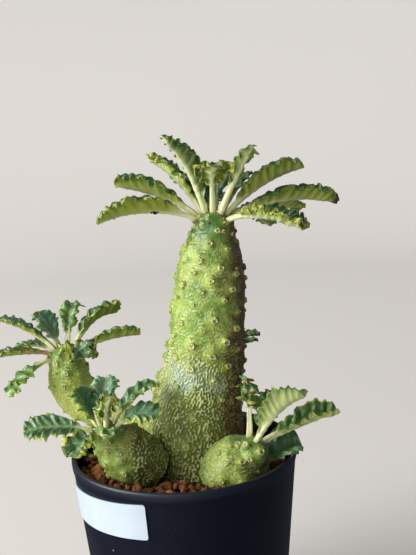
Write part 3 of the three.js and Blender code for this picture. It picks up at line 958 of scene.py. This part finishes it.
leaves = {
    "main": [
        leaf(186, 14, 39, 34, 6, 52, "lime", wide=1.18, swell=0.8, taper=0.62, tilt=0.2, bias=0.2),
        leaf(162, 28, 24, 31.5, 5.8, 52, "green", wide=1.25, swell=0.9, taper=0.55, tilt=0.3, bias=0.2,
             crumple=1.1),
        leaf(141, 50, 30, 28, 4.6, 58, "cream", wide=1.22, taper=0.28, tilt=0.55, bias=0.2, crumple=1.2,
             turn=-10),
        leaf(202, 73, 31, 29.5, 6.2, 54, "moss", wide=0.94, taper=0.62, tilt=0.2, crumple=1.3, crimp=1.3),
        leaf(130, 84, 30, 10.5, 2.4, 40, "deep"),
        leaf(-90, 74, 55, 20, 4.2, 40, "shady", bare=0.44, crumple=2.2, noise=1.8, wave=2.0, crimp=1.8),
        leaf(-48, 56, 6, 27, 5, 38, "pale", bare=0.34, wide=0.72, tilt=0.0, crumple=1.2, crimp=1.3),
        leaf(74, 60, 32, 20, 4.8, 36, "deep"),
        leaf(22, 54, 22, 17, 3.4, 40, "deep"),
        leaf(-10, 39, 30, 30.5, 5.4, 50, "olive", bare=0.12, wide=1.12, tilt=0.3, bias=0.2),
        leaf(10, 14, 34, 39.5, 6.2, 52, "olive", wide=1.08, taper=0.5, bias=0.15, crumple=1.15,
             crimp=1.15, dryTip=1),
        leaf(-38, 4, 30, 28.2, 6, 54, "bright", wide=1.1, crumple=1.75, noise=1.9, wave=2.0, crimp=1.3,
             roll=1.0),
        leaf(54, -4, 28, 34, 5, 44, "olive"),
        leaf(37, 6, 28, 36, 5.2, 44, "green"),
        leaf(88, 14, 36, 31, 5.4, 44, "green"),
        leaf(112, 36, 24, 25, 5, 42, "green"),
    ],
    "left_back": [
        leaf(174, 38, 26, 23, 4.4, 42, "fresh"),
        leaf(139, 50, 0, 15, 4.8, 30, "teal"),
        leaf(84, 60, 60, 20, 4.4, 42, "spring", wide=0.8, crumple=1.3, crimp=1.2),
        leaf(38, 46, 62, 22.5, 5, 58, "lime", wide=1.25, tilt=0.42, bias=0.15, crumple=1.15, crimp=1.2),
        leaf(8, 13, 18, 22.5, 4.4, 56, "green", wide=1.2, tilt=0.3, bias=0.1),
        leaf(190, 2, 8, 19, 4.4, 46, "rust"),
        leaf(212, -30, 16, 19.5, 4.4, 36, "spring", crumple=1.3, crimp=1.2),
        leaf(-62, 26, 74, 13, 5.6, 14, "yellowEdge", bare=0.15, wide=0.9, crumple=2.2, noise=1.5,
             wave=1.8, crimp=2.2, roll=0.5),
        leaf(154, 8, 34, 15.5, 3.8, 40, "green"),
    ],
    "left_front": [
        leaf(184, 13, 26, 22.5, 5, 26, "fresh", wide=0.95, tilt=-1.3, crumple=1.18, noise=1.9, wave=1.9,
             crimp=0.9, lobe=0.7, roll=0.8),
        leaf(158, 56, -8, 14, 4.2, 36, "teal", wide=1.25, tilt=0.0, wave=1.9, crimp=1.2, roll=0.6),
        leaf(88, 62, 50, 17, 4.4, 40, "teal", wide=0.9, tilt=0.0, wave=1.9, crimp=1.2),
        leaf(-64, 78, 40, 13.5, 2.8, 40, "fresh", crumple=1.9, noise=1.8, wave=2.0, crimp=2.0),
        leaf(24, 46, 48, 20, 4.2, 48, "fresh", tilt=0.0, crumple=1.3, crimp=1.1),
        leaf(-10, 28, 50, 15.5, 4.6, 26, "silver", tilt=-0.6, bias=-0.1, wave=2.2, crimp=1.2, roll=0.6),
        leaf(236, 4, 66, 12, 4.4, 34, "yellowEdge", wide=0.9, tilt=0.0, crumple=1.9, noise=1.7, wave=1.9,
             crimp=1.8, roll=0.6),
        leaf(200, 84, 10, 5.5, 1.6, 40, "teal"),
        leaf(-76, 22, 50, 8, 2.2, 36, "cream"),
    ],
    "right_front": [
        leaf(86, 78, 12, 18.5, 3.8, 36, "rusty", bare=0.42, wide=0.72, crumple=2.4, wave=2.1, crimp=2.8,
             shift=(-1.4, -0.5, 0.5)),
        leaf(-28, 59, 38, 25, 7, 50, "white", bare=0.08, swell=1.2, tilt=0.62, bias=0.12, crumple=0.9,
             wave=2.0, roll=0.7, shift=(-1.8, 0, 0)),
        leaf(12, 16, 12, 28, 5, 58, "glossy", bare=0.14, swell=0.95, tilt=0.0, bias=-0.12, crumple=1.5,
             noise=2.8, crimp=0.62, lobe=0.5, roll=0.3, shift=(-1.2, 0, 0)),
        leaf(54, 44, 10, 18, 3, 30, "deep", wide=1.6, crumple=1.2, roll=0.5),
    ],
    "back": [
        leaf(-12, 46, 56, 18.5, 3.6, 40, "green"),
        leaf(28, 18, 24, 17, 3.6, 40, "green"),
        leaf(92, 26, 36, 19, 4, 40, "green"),
        leaf(150, 36, 36, 15, 3.6, 40, "green"),
        leaf(205, 48, 40, 13, 3.2, 40, "green"),
        leaf(-80, 74, 30, 11, 2.6, 40, "green"),
    ],
    "bud": [
        leaf(4, 20, 10, 13, 4.8, 44, "deep", bare=0.06, wide=1.65, tilt=-0.3, bias=-0.15, crumple=0.9,
             roll=0.5),
    ],
}


def leafMaterial():
    material, wire, shader = newMaterial("leaf", {"Specular IOR Level": 0.45, "Subsurface Weight": 0.45,
                                                  "Subsurface Radius": (0.6, 1.0, 0.15),
                                                  "Subsurface Scale": 0.001, "Coat Roughness": 0.22})
    own = wire.place()
    across, along, above = wire.parts(wire.layer("spread", 1))
    rib, vein, fold = wire.parts(wire.layer("relief", 1))
    pale, yellow, rust = wire.parts(wire.layer("look", 1))
    bloomAndSheen, light, dark = wire.parts(wire.layer("cover", 1))
    mottle = wire.noise(own, 0.30, 3, 0.6)
    grain = wire.noise(own, 1.3, 3, 0.6)
    pucker = wire.noise(own, 0.62, 2, 0.5, 0.4)
    # the underside: green to cream, with painted shade in the folds, with paler veins
    shade = wire.mix((0.030, 0.060, 0.008), (0.250, 0.320, 0.070), pale)
    under = wire.coats(
        (0.050, 0.090, 0.010),
        ((0.450, 0.490, 0.026), pale.ease(0.0, 0.6)),
        ((0.63, 0.71, 0.32), pale.ease(0.45, 1.0)),
        ((0.24, 0.32, 0.17), bloomAndSheen * 0.3),
        (shade, (fold.ease(0.15, 0.95) * 0.72 + mottle.ease(0.4, 0.7) * 0.25).clamped()),
        ((0.54, 0.60, 0.22), vein * (0.35 + pale * 0.35)),
        (shade, across.ease(0.70, 0.95) * 0.6),
        ((0.58, 0.64, 0.32), (1 - across.ease(0.10, 0.50)) * 0.2))
    # the upper side: deep green, bluish where the bloom is, which is partly a painted sheen
    upper = wire.coats(
        (0.022, 0.080, 0.013),
        ((0.075, 0.190, 0.032), mottle.ease(0.35, 0.7)),
        ((0.170, 0.330, 0.055), light * 0.8),
        ((0.205, 0.390, 0.270), bloomAndSheen * (0.35 + mottle * 0.65)),
        ((0.20, 0.32, 0.10), vein * 0.4),
        # painted shade in the folds of the upper side
        ((0.012, 0.042, 0.010), fold.ease(0.45, 1.0) * 0.5))
    # the cream rib, the yellow and rusty margin, a dry tip and the stalk's root
    ribColour = wire.coats(
        (0.66, 0.70, 0.38),
        ((0.80, 0.79, 0.50), pale.ease(0.2, 0.8)),
        ((0.46, 0.19, 0.045), rust.ease(0.7, 0.9) * 0.7))
    edge = wire.math("MAXIMUM", (across + yellow * 0.06).ease(0.88, 0.99), along.ease(0.95, 0.995))
    blade = wire.coats(
        under,
        (upper, above),
        (ribColour, rib.clamped() * (1 - above * 0.55)),
        ((0.56, 0.60, 0.080), edge * mottle.ease(0.28, 0.52) * yellow),
        ((0.36, 0.10, 0.02), across.ease(0.6, 0.98) * rust * mottle.ease(0.44, 0.62)),
        ((0.050, 0.016, 0.014), dark.ease(0.3, 0.9)),
        ((0.62, 0.55, 0.28), (1 - along.ease(0.0, 0.08)) * 0.6))
    plug(shader, "Base Color", blade)
    plug(shader, "Roughness", (0.58 - above * 0.24 + grain * 0.1).clamped())
    plug(shader, "Coat Weight", above * 0.4)
    roughen(shader, 0.5, 0.3, grain * 0.5 + mottle * 0.4 + pucker * (above * 2.4 + 0.3))
    return material


leafFinish = leafMaterial()


def turnedTo(lean, vector):
    turn = Vector((0, 0, 1)).rotation_difference(Vector(lean).normalized())
    return np.array(turn @ Vector(vector))


# How a leaf runs: the way it leaves its crown by, then in even steps the share of its length, its
# middle line, and the ways across it and up from it.
def leafFrame(crown, traits, count):
    azimuth, rise, length = traits["azimuth"], traits["rise"], traits["length"]
    first = turnedTo(crown["lean"], towards(azimuth, leafShape["rootRise"] + 0.52 * rise))
    pull = first - towards(azimuth, rise)

    def heading(u):
        way = towards(azimuth, rise - traits["droop"] * u**1.6)
        return unit(way + pull * np.exp(-u * length / leafShape["rootBend"])[:, None])

    u = np.linspace(0, 1, count + 1)
    start = np.array(crown["middle"]) + first * (crown["radius"] + leafShape["gap"])
    middles = np.linspace(0, 1, count * 4 + 1)[:-1] + 0.125 / count
    steps = heading(middles) * (length / count / 4)
    walked = np.vstack([np.zeros(3), np.cumsum(steps, 0)])[::4]
    along = heading(u)
    side = np.array([np.sin(np.radians(azimuth)), -np.cos(np.radians(azimuth)), 0])
    side = unit(side - (side * along).sum(1)[:, None] * along)
    turn = np.radians(traits["turn"] * u)[:, None]
    side = side * np.cos(turn) + np.cross(along, side) * np.sin(turn)
    return first, u[:, None], start + walked, side, np.cross(side, along)


# The blade's width along the leaf as a share of its widest place.
def leafOutline(traits, u):
    x = np.clip((u - traits["bare"]) / (1 - traits["bare"]), 0, 1)
    widest = traits["swell"] / (traits["swell"] + traits["taper"])
    return 1.03 * (x / widest) ** traits["swell"] * ((1 - x) / (1 - widest)) ** traits["taper"]


# The waves of a blade, along u and across v: how far they lift it, the scallops and the slow swing
# of its margin, its veins, and the painted shade in its folds.
def leafWaves(traits, u, v, width, blade, presence, random):
    length, hand, far = traits["length"], np.sign(v), np.abs(v)
    waves = max(3, round(length * (1 - traits["bare"]) * 0.95 / traits["wave"]))
    amount = leafShape["crimp"] * traits["crimp"] * min(1.3, traits["crumple"])
    amount = amount * (0.45 + 0.55 * min(1.1, traits["halfWidth"] / 5))
    amount = amount * presence * np.minimum(1, blade * 1.3)
    drift = random.uniform(0, 6.28, 8)
    walk = u + 0.014 * np.sin(u * 11 + drift[0]) + 0.008 * np.sin(u * 26 + drift[1])
    phase = walk * waves - far * (width * leafShape["veinSlant"] / length * waves)
    phase = phase + np.where(hand > 0, random.uniform(0, 1), random.uniform(0, 1))
    beat = 1 + 0.35 * np.sin(u * 19 + drift[2]) * hand + 0.2 * np.sin(u * 47 + drift[3])
    swing = np.sin(2 * math.pi * phase)
    small = np.sin(2 * math.pi * 2.35 * phase + drift[3])
    slow = np.sin(walk * length * 2 * math.pi / 7.5 + drift[4]) * np.where(hand > 0, 1, -0.8)
    slow = slow + 0.6 * np.sin(walk * length * 2 * math.pi / 4.9 + drift[5]) * np.where(hand > 0, -1, 1)
    lift = beat * swing * (0.34 * far + 0.66 * far**2.2) + 0.34 * small * far**4
    lift = amount * (lift + leafShape["sway"] * slow * far**1.5)
    lobes = 2 * np.abs(np.sin(math.pi * phase + 0.4)) ** 0.7 - 1 + 0.25 * small
    vein = np.exp(-((phase % 1 - 0.5) / 0.13) ** 2) * (1 - 0.65 * far) * presence
    foldShading = 0.5 - 0.5 * swing * fade(far, 0.1, 0.75) * np.clip(beat, 0.4, 1.3)
    return lift, lobes, slow, vein, foldShading


# The section of a blade, turned up from the rib in a rounded V with its margin rolled out in beads:
# the distance from the rib along it, across and up, how far it leans there, and the same unrolled.
def leafSection(traits, u, v, side, width, presence, lobes, slow):
    hand, far, middle = np.sign(v), np.abs(v), leafShape["half"]
    away = hand * side[:, 1:2]  # above 0 on the half away from the viewer
    angle = np.radians(traits["fold"] * (0.3 + 0.7 * np.minimum(1, u / 0.3)) * (1.05 - 0.2 * u))
    angle = angle * (1 - traits["tilt"] * away)
    stretch = 1 + traits["lobe"] / np.maximum(width, 1) * far**5 * lobes * presence
    stretch *= 1 - traits["bias"] * away * fade(far, 0.1, 0.5) * presence
    rolled = leafShape["roll"] * traits["roll"] * fade(far, leafShape["rollFrom"], 1) * presence
    rolled = rolled * np.clip(0.5 + 0.5 * lobes + 0.3 * slow, 0, 1.2)
    lean = angle * fade(far, 0.0, 0.30) * (1.12 - 0.2 * far) - rolled
    reach = width * v * stretch
    gaps = np.diff(reach, axis=1)
    leans = (lean[:, 1:] + lean[:, :-1]) / 2
    hands = np.sign(v[:, 1:] + v[:, :-1])
    none = np.zeros_like(width)
    across = np.concatenate([none, np.cumsum(gaps * np.cos(leans), 1)], 1)
    height = np.concatenate([none, np.cumsum(gaps * np.sin(leans) * hands, 1)], 1)
    across -= across[:, middle:middle + 1]
    height -= height[:, middle:middle + 1]
    return reach, across, height, hand * lean, hand * (lean + rolled)


# How far the blade is tossed about, most at its margin and towards its tip.
def leafTossed(traits, points, u, far, presence):
    where, size = points.reshape(-1, 3), traits["noise"]
    tossed = [noiseAt(where, size, shift) + 0.8 * noiseAt(where, size * 2.4, shift)
              for shift in (3.1, 17.7, 41.3)]
    loose = np.maximum(far**1.3, fade(u, 0.6, 0.95))
    amount = 2.2 * (traits["crumple"] - 1) * presence * loose
    return np.stack(tossed, -1).reshape(points.shape) * amount[..., None]


# What the leaf's material reads at each point, over the upper side and back along the underside.
def leafLayers(traits, u, far, stalkPart, near, vein, foldShading):
    full = np.ones_like(vein)
    upper = [far * full, u * full, (1 - stalkPart) * full, np.maximum(near * 0.8, stalkPart), vein,
             1 - foldShading]
    under = [far * full, u * full, 0 * full, np.maximum(near**0.5, stalkPart), vein, foldShading]
    values = np.concatenate([np.stack(upper, -1), np.stack(under, -1)[:, ::-1]], 1)
    values = np.concatenate([values[:1], values], 0).reshape(-1, 6)
    *look, bloomAndSheen, light = leafLooks[traits["look"]]
    along = values[:, 1]
    return {
        "spread": values[:, :3],
        "relief": values[:, 3:],
        "look": np.tile(look, (len(values), 1)),
        "cover": np.stack([0 * along + bloomAndSheen, 0 * along + light, traits["dryTip"] * along**8], -1),
    }


def makeLeaf(place, number, traits):
    length, half = traits["length"], leafShape["half"]
    random = np.random.default_rng(int(100 * length + 7 * traits["azimuth"] + 1000 * traits["halfWidth"]))
    first, u, line, side, up = leafFrame(crowns[place], traits, max(24, int(length / leafShape["step"])))
    even = np.linspace(-1, 1, 2 * half + 1)
    v = (np.sin(even * math.pi / 2) * 0.4 + even * 0.6)[None, :]
    far = np.abs(v)
    bulk = 0.6 + 0.4 * min(1, length / 28)
    stalk = leafShape["ribHalfWidth"] * bulk
    blade = leafOutline(traits, u)
    tip = np.sqrt(np.clip((1.004 - u) / 0.03, 0, 1))
    width = np.maximum(stalk * (1 - 0.5 * u) * tip, traits["halfWidth"] * leafShape["bladeWidth"] * blade)
    bladePart = fade(u, traits["bare"], traits["bare"] + leafShape["opening"])
    stalkPart = 1 - bladePart
    presence = bladePart * (1 - 0.3 * fade(u, 0.93, 1))
    lift, lobes, slow, vein, foldShading = leafWaves(traits, u, v, width, blade, presence, random)
    reach, across, height, lean, plainLean = leafSection(traits, u, v, side, width, presence, lobes, slow)

    def turned(sideways, upwards):
        return sideways[..., None] * side[:, None, :] + upwards[..., None] * up[:, None, :]

    base = line[:, None, :] + turned(across, height)
    base = base + lift[..., None] * turned(-np.sin(plainLean), np.cos(plainLean))
    base = base + np.array(traits["shift"])
    if traits["crumple"] > 1:
        base = base + leafTossed(traits, base, u, far, presence)
    near = np.clip(1 - (reach / np.minimum(stalk * (1 - 0.55 * u), width * 0.9)) ** 2, 0, 1)
    thick = leafShape["edgeThick"] + (leafShape["bladeThick"] - leafShape["edgeThick"]) * (1 - far**2)
    thick = thick * np.clip(width / 1.2, 0.3, 1)
    above = thick / 2 + stalkPart * np.sqrt(near) * 0.35 * bulk - bladePart * near * 0.12
    below = thick / 2 + np.sqrt(near) * leafShape["ribDepth"] * bulk * (1 - 0.8 * u)
    below = below + vein * leafShape["veinHeight"]
    normal = turned(-np.sin(lean), np.cos(lean))
    top, bottom = base + above[..., None] * normal, base - below[..., None] * normal
    loop = np.concatenate([top, bottom[:, ::-1]], 1)
    # the stalk's root, drawn into the crown
    root = loop[0] - first * leafShape["rootDepth"]
    root = root.mean(0) + (root - root.mean(0)) * 0.8
    loop = np.concatenate([root[None], loop], 0)
    layers = leafLayers(traits, u, far, stalkPart, near, vein, foldShading)
    faces = [f[::-1] for f in tubeFaces(*loop.shape[:2])]
    name, node = f"leaf_{place}_{number:02d}", f"{place}_leaf_{number:02d}"
    makePiece(name, loop.reshape(-1, 3), faces, leafFinish, [node], layers)


for place, rows in leaves.items():
    for number, row in enumerate(rows, 1):
        makeLeaf(place, number, row)
print("leaves made")


# Dry scales between the leaf roots as crown, azimuth, rise and length, and dark crumbs under the
# lowest left leaf by pixel and size, at that leaf's depth along Y.
dryShape = {
    "scales": [
        ("main", -62, 20, 1.9), ("main", -30, 8, 1.6), ("main", -104, 26, 1.5), ("main", -150, 30, 1.7),
        ("main", 30, 20, 1.8), ("main", 95, 24, 1.7), ("main", 170, 24, 1.4), ("left_back", 188, 30, 2.4),
        ("left_back", -100, 34, 1.5), ("left_back", 40, 30, 1.6), ("left_front", -40, 30, 1.7),
        ("left_front", 30, 36, 1.8), ("right_front", 60, 30, 1.8), ("right_front", -110, 44, 1.4),
        ("back", 60, 30, 1.6),
    ],
    "crumbs": [(152, 211.3, 0.8), (155.5, 212, 0.95), (158, 211.5, 0.6), (141, 209, 0.55),
               (113.5, 217.5, 0.7)],
    "crumbDepth": -0.6,
    "halfWidth": 0.75,
    "sides": 8,
    "rings": 7,
}


def dryMaterial():
    material, wire, shader = newMaterial("dryBits", {"Roughness": 0.75, "Specular IOR Level": 0.25})
    blots = wire.noise(wire.place(), 1.1, 3, 0.6)
    colour = wire.coats((0.34, 0.13, 0.035),
                        ((0.11, 0.035, 0.014), blots.ease(0.35, 0.65)),
                        ((0.018, 0.010, 0.008), wire.layer("dark")))
    plug(shader, "Base Color", colour)
    roughen(shader, 0.5, 0.2, blots)
    return material


def dryScale(place, azimuth, rise, length):
    data = crowns[place]
    out = turnedTo(data["lean"], towards(azimuth, rise))
    way = unit(out + np.array([0, 0, 0.9]))
    side = unit(np.cross(way, out))
    flat = np.cross(side, way)
    root = np.array(data["middle"]) + out * (data["radius"] - 0.4)
    points = []
    for share in np.linspace(0, 1, dryShape["rings"]):
        middle = root + way * length * share * 1.2 + flat * 0.5 * share**2
        wide = dryShape["halfWidth"] * (1 - share**1.6) + 0.03
        thick = 0.2 * (1 - share**3) + 0.03
        points += [middle + side * wide * math.cos(a) + flat * thick * math.sin(a)
                   for a in anglesRound(dryShape["sides"])]
    return np.array(points), tubeFaces(dryShape["rings"], dryShape["sides"])


def makeDryBits():
    scales = [dryScale(*row) for row in dryShape["scales"]]
    ball, ballFaces = ballShape()
    crumbs = []
    for x, y, size in dryShape["crumbs"]:
        start, way = pixelRay(x, y)
        spot = start + way * ((dryShape["crumbDepth"] - start[1]) / way[1])
        crumbs.append((ball * (1 + noiseAt(ball, 0.8, x)[:, None] * 0.9) * size * 0.8 + spot, ballFaces))
    points, faces = joined(scales + crumbs)
    dark = np.arange(len(points)) >= sum(len(own) for own, _ in scales)
    makePiece("dryScales", points, faces, dryMaterial(), (), {"dark": dark})


makeDryBits()
print("dry scales made")


# The soil: crumbs of baked clay heaped over a bed painted dark as shade.
soilShape = {
    "level": 67.4,
    "seed": 5,
    "tries": 3200,
    "smallest": 0.9,
    "largest": 3.3,
    "edge": 0.5,
    "uneven": (-1.4, 0.7),
    "heap": 1.6,
    "bedDepth": 1.5,
    "bedRings": 14,
    "bedSides": 72,
    "bottom": 3,
}


def soilMaterial():
    material, wire, shader = newMaterial("bakedClay", {"Specular IOR Level": 0.25})
    own = wire.place()
    pores = wire.noise(own, 1.5, 4, 0.7)
    blots = wire.noise(own, 0.4, 3, 0.6)
    colour = wire.coats((0.13, 0.045, 0.016),
                        ((0.40, 0.165, 0.060), wire.layer("tint")),
                        ((0.50, 0.26, 0.12), pores.ease(0.55, 0.75) * 0.5),
                        ((0.05, 0.018, 0.008), blots.ease(0.55, 0.75) * 0.55),
                        # painted shade: the bed and the lower parts of the crumbs, between them
                        ((0.022, 0.010, 0.006), wire.layer("deep")))
    plug(shader, "Base Color", colour)
    plug(shader, "Roughness", 0.82 + pores * 0.15)
    roughen(shader, 0.8, 0.4, pores + blots * 0.6)
    return material


# Middles and sizes of the crumbs: drawn at random, heaped up towards the left, and kept where they
# clear the limbs and each other.
def crumbPlaces(random, limit):
    limbs = np.vstack([limbCurve(crowns[k], 1.5) for k in ("main", "left_front", "right_front")])
    smallest, largest = soilShape["smallest"], soilShape["largest"]
    middles, sizes = np.zeros((0, 3)), np.zeros(0)
    for _ in range(soilShape["tries"]):
        size = smallest + (largest - smallest) * random.random() ** 1.8
        reach = math.sqrt(random.random()) * (limit - size * 0.9)
        angle = random.random() * 2 * math.pi
        x, y = reach * math.cos(angle), reach * math.sin(angle)
        z = soilShape["level"] + random.uniform(*soilShape["uneven"]) - size * 0.15
        middle = np.array([x, y, z + soilShape["heap"] * fade(-x, 8, 30)])
        onLimb = (np.linalg.norm(limbs[:, :3] - middle, axis=1) - limbs[:, 3]).min() < size * 0.3
        onCrumb = (np.linalg.norm(middles - middle, axis=1) < (size + sizes) * 0.74).any()
        if not onLimb and not onCrumb:
            middles, sizes = np.vstack([middles, middle]), np.append(sizes, size)
    return middles, sizes


# The bed below the crumbs, down to the bottom of the pot, painted dark as shade.
def soilBed(limit):
    rings, sides, bottom = soilShape["bedRings"], soilShape["bedSides"], soilShape["bottom"]
    radii = np.linspace(0.02, 1, rings) * limit
    level = soilShape["level"] - soilShape["bedDepth"]
    bed = np.array([[r * math.cos(a), r * math.sin(a), level] for r in radii for a in anglesRound(sides)])
    bed[:, 2] += noiseAt(bed, 2.2) * 0.8
    low = bed[-sides:].copy()
    low[:, 2] = bottom
    low[:, :2] *= (wallRadius(bottom) - potShape["wall"] - 0.5) / limit
    return np.vstack([bed, low]), tubeFaces(rings + 1, sides)


def makeSoil():
    random = np.random.default_rng(soilShape["seed"])
    limit = wallRadius(soilShape["level"]) - potShape["wall"] - soilShape["edge"]
    middles, sizes = crumbPlaces(random, limit)
    ball, ballFaces = ballShape()
    bodies, tint, deep = [], [], []
    for middle, size in zip(middles, sizes):
        shift = random.uniform(0, 50)
        rough = noiseAt(ball, 0.9, shift) * 0.6 + noiseAt(ball, 0.36, shift + 9) * 0.36
        spin = Matrix.Rotation(random.uniform(0, 6.28), 3, unit(random.standard_normal(3)))
        scale = np.array([1, random.uniform(0.75, 1), random.uniform(0.65, 0.9)])
        crumb = (ball * (1 + rough)[:, None] * scale * size) @ np.array(spin) + middle
        bodies.append((crumb, ballFaces))
        tint.append(np.full(len(ball), random.random()))
        # painted shade: crumbs darker lower down, where they sit between others
        deep.append(fade(crumb[:, 2], soilShape["level"] + 0.3, soilShape["level"] - 1.8) * 0.8)
    bodies.append(soilBed(limit + 0.3))
    tint.append(np.zeros(len(bodies[-1][0])))
    # painted shade: the bed dark all over
    deep.append(np.full(len(bodies[-1][0]), 0.9))
    points, faces = joined(bodies)
    layers = {"tint": np.concatenate(tint), "deep": np.concatenate(deep)}
    makePiece("claySoil", points, faces, soilMaterial(), ["soil"], layers)
    return len(sizes)


print("soil made,", makeSoil(), "crumbs")


# The studio, in metres: a pale sweep as floor, bend and wall, a soft key lamp from the left and
# weak fills. The lamps stand outside the sweep.
studio = {
    "backdrop": (0.60, 0.572, 0.548),
    "backdropGlow": 0.36,
    "floor": 0.75,
    "bend": 0.45,
    "top": 1.8,
    "sink": 0.00005,
    "sides": 96,
    "world": (0.72, 0.84, 1.0),
    "worldStrength": 0.10,
    "target": (0.005, 0, 0.10),
}
lamps = {
    "key": {"place": (-1.53, -0.405, 0.85), "size": 1.35, "power": 54, "colour": (1.0, 0.985, 0.94)},
    "front": {"place": (-0.75, -1.5, 0.55), "size": 1.35, "power": 6, "colour": (0.95, 0.98, 1.0)},
    "bounce": {"place": (-0.3, -0.8, -0.40), "size": 0.8, "power": 4.8, "colour": (1.0, 0.98, 0.93)},
    "back": {"place": (1.05, 1.2, 0.85), "size": 0.9, "power": 5.9, "colour": (1.0, 0.95, 0.88)},
}


def makeLamp(name, settings):
    data = bpy.data.lights.new(name, "AREA")
    data.size = settings["size"]
    data.energy = settings["power"]
    data.color = settings["colour"]
    lamp = placeObject(name, data)
    lamp.location = settings["place"]
    lamp.visible_glossy = name != "bounce"
    lamp.visible_camera = False
    lamp.rotation_mode = "QUATERNION"
    aim = Vector(studio["target"]) - Vector(settings["place"])
    lamp.rotation_quaternion = aim.to_track_quat("-Z", "Y")


def backdropMaterial():
    base = studio["backdrop"]
    fixed = {"Specular IOR Level": 0.1, "Roughness": 0.9, "Emission Color": (*base, 1),
             "Emission Strength": studio["backdropGlow"]}
    material, wire, shader = newMaterial("backdropPaper", fixed)
    cloud = wire.noise(wire.place((1, 1, 1)), 3.0, 2)
    plug(shader, "Base Color", wire.mix(base, tuple(c * 0.97 for c in base), cloud))
    return material


def makeSweep():
    floor, bend, sides = (studio[k] for k in ("floor", "bend", "sides"))
    angles, rising = anglesRound(sides), np.radians(np.arange(6, 91, 6))
    profile = [(0.3, 0.0), (floor, 0.0)]
    profile += [(floor + bend * math.sin(a), bend - bend * math.cos(a)) for a in rising]
    profile += [(floor + bend, studio["top"] / 2), (floor + bend, studio["top"])]
    points = [(r * math.cos(a), r * math.sin(a), z - studio["sink"]) for r, z in profile for a in angles]
    points.append((0, 0, -studio["sink"]))
    faces = gridFaces(len(profile), sides)
    faces += [[j, len(points) - 1, (j + 1) % sides] for j in range(sides)]
    mesh = bpy.data.meshes.new("studioSweep")
    mesh.from_pydata(points, [], faces)
    mesh.polygons.foreach_set("use_smooth", [True] * len(mesh.polygons))
    mesh.materials.append(backdropMaterial())
    sweep = placeObject("studioSweep", mesh)
    sweep.visible_diffuse = False  # it lights nothing, so the plant keeps its shaded side
    sweep.visible_glossy = False
    sweep.visible_shadow = False


def makeStudio():
    makeSweep()
    world = bpy.data.worlds.new("studioAir")
    world.use_nodes = True
    background = world.node_tree.nodes["Background"]
    background.inputs["Color"].default_value = (*studio["world"], 1)
    background.inputs["Strength"].default_value = studio["worldStrength"]
    bpy.context.scene.world = world
    for name, settings in lamps.items():
        makeLamp(name, settings)
    bpy.context.scene.view_settings.view_transform = "Standard"


makeStudio()
print("studio made")
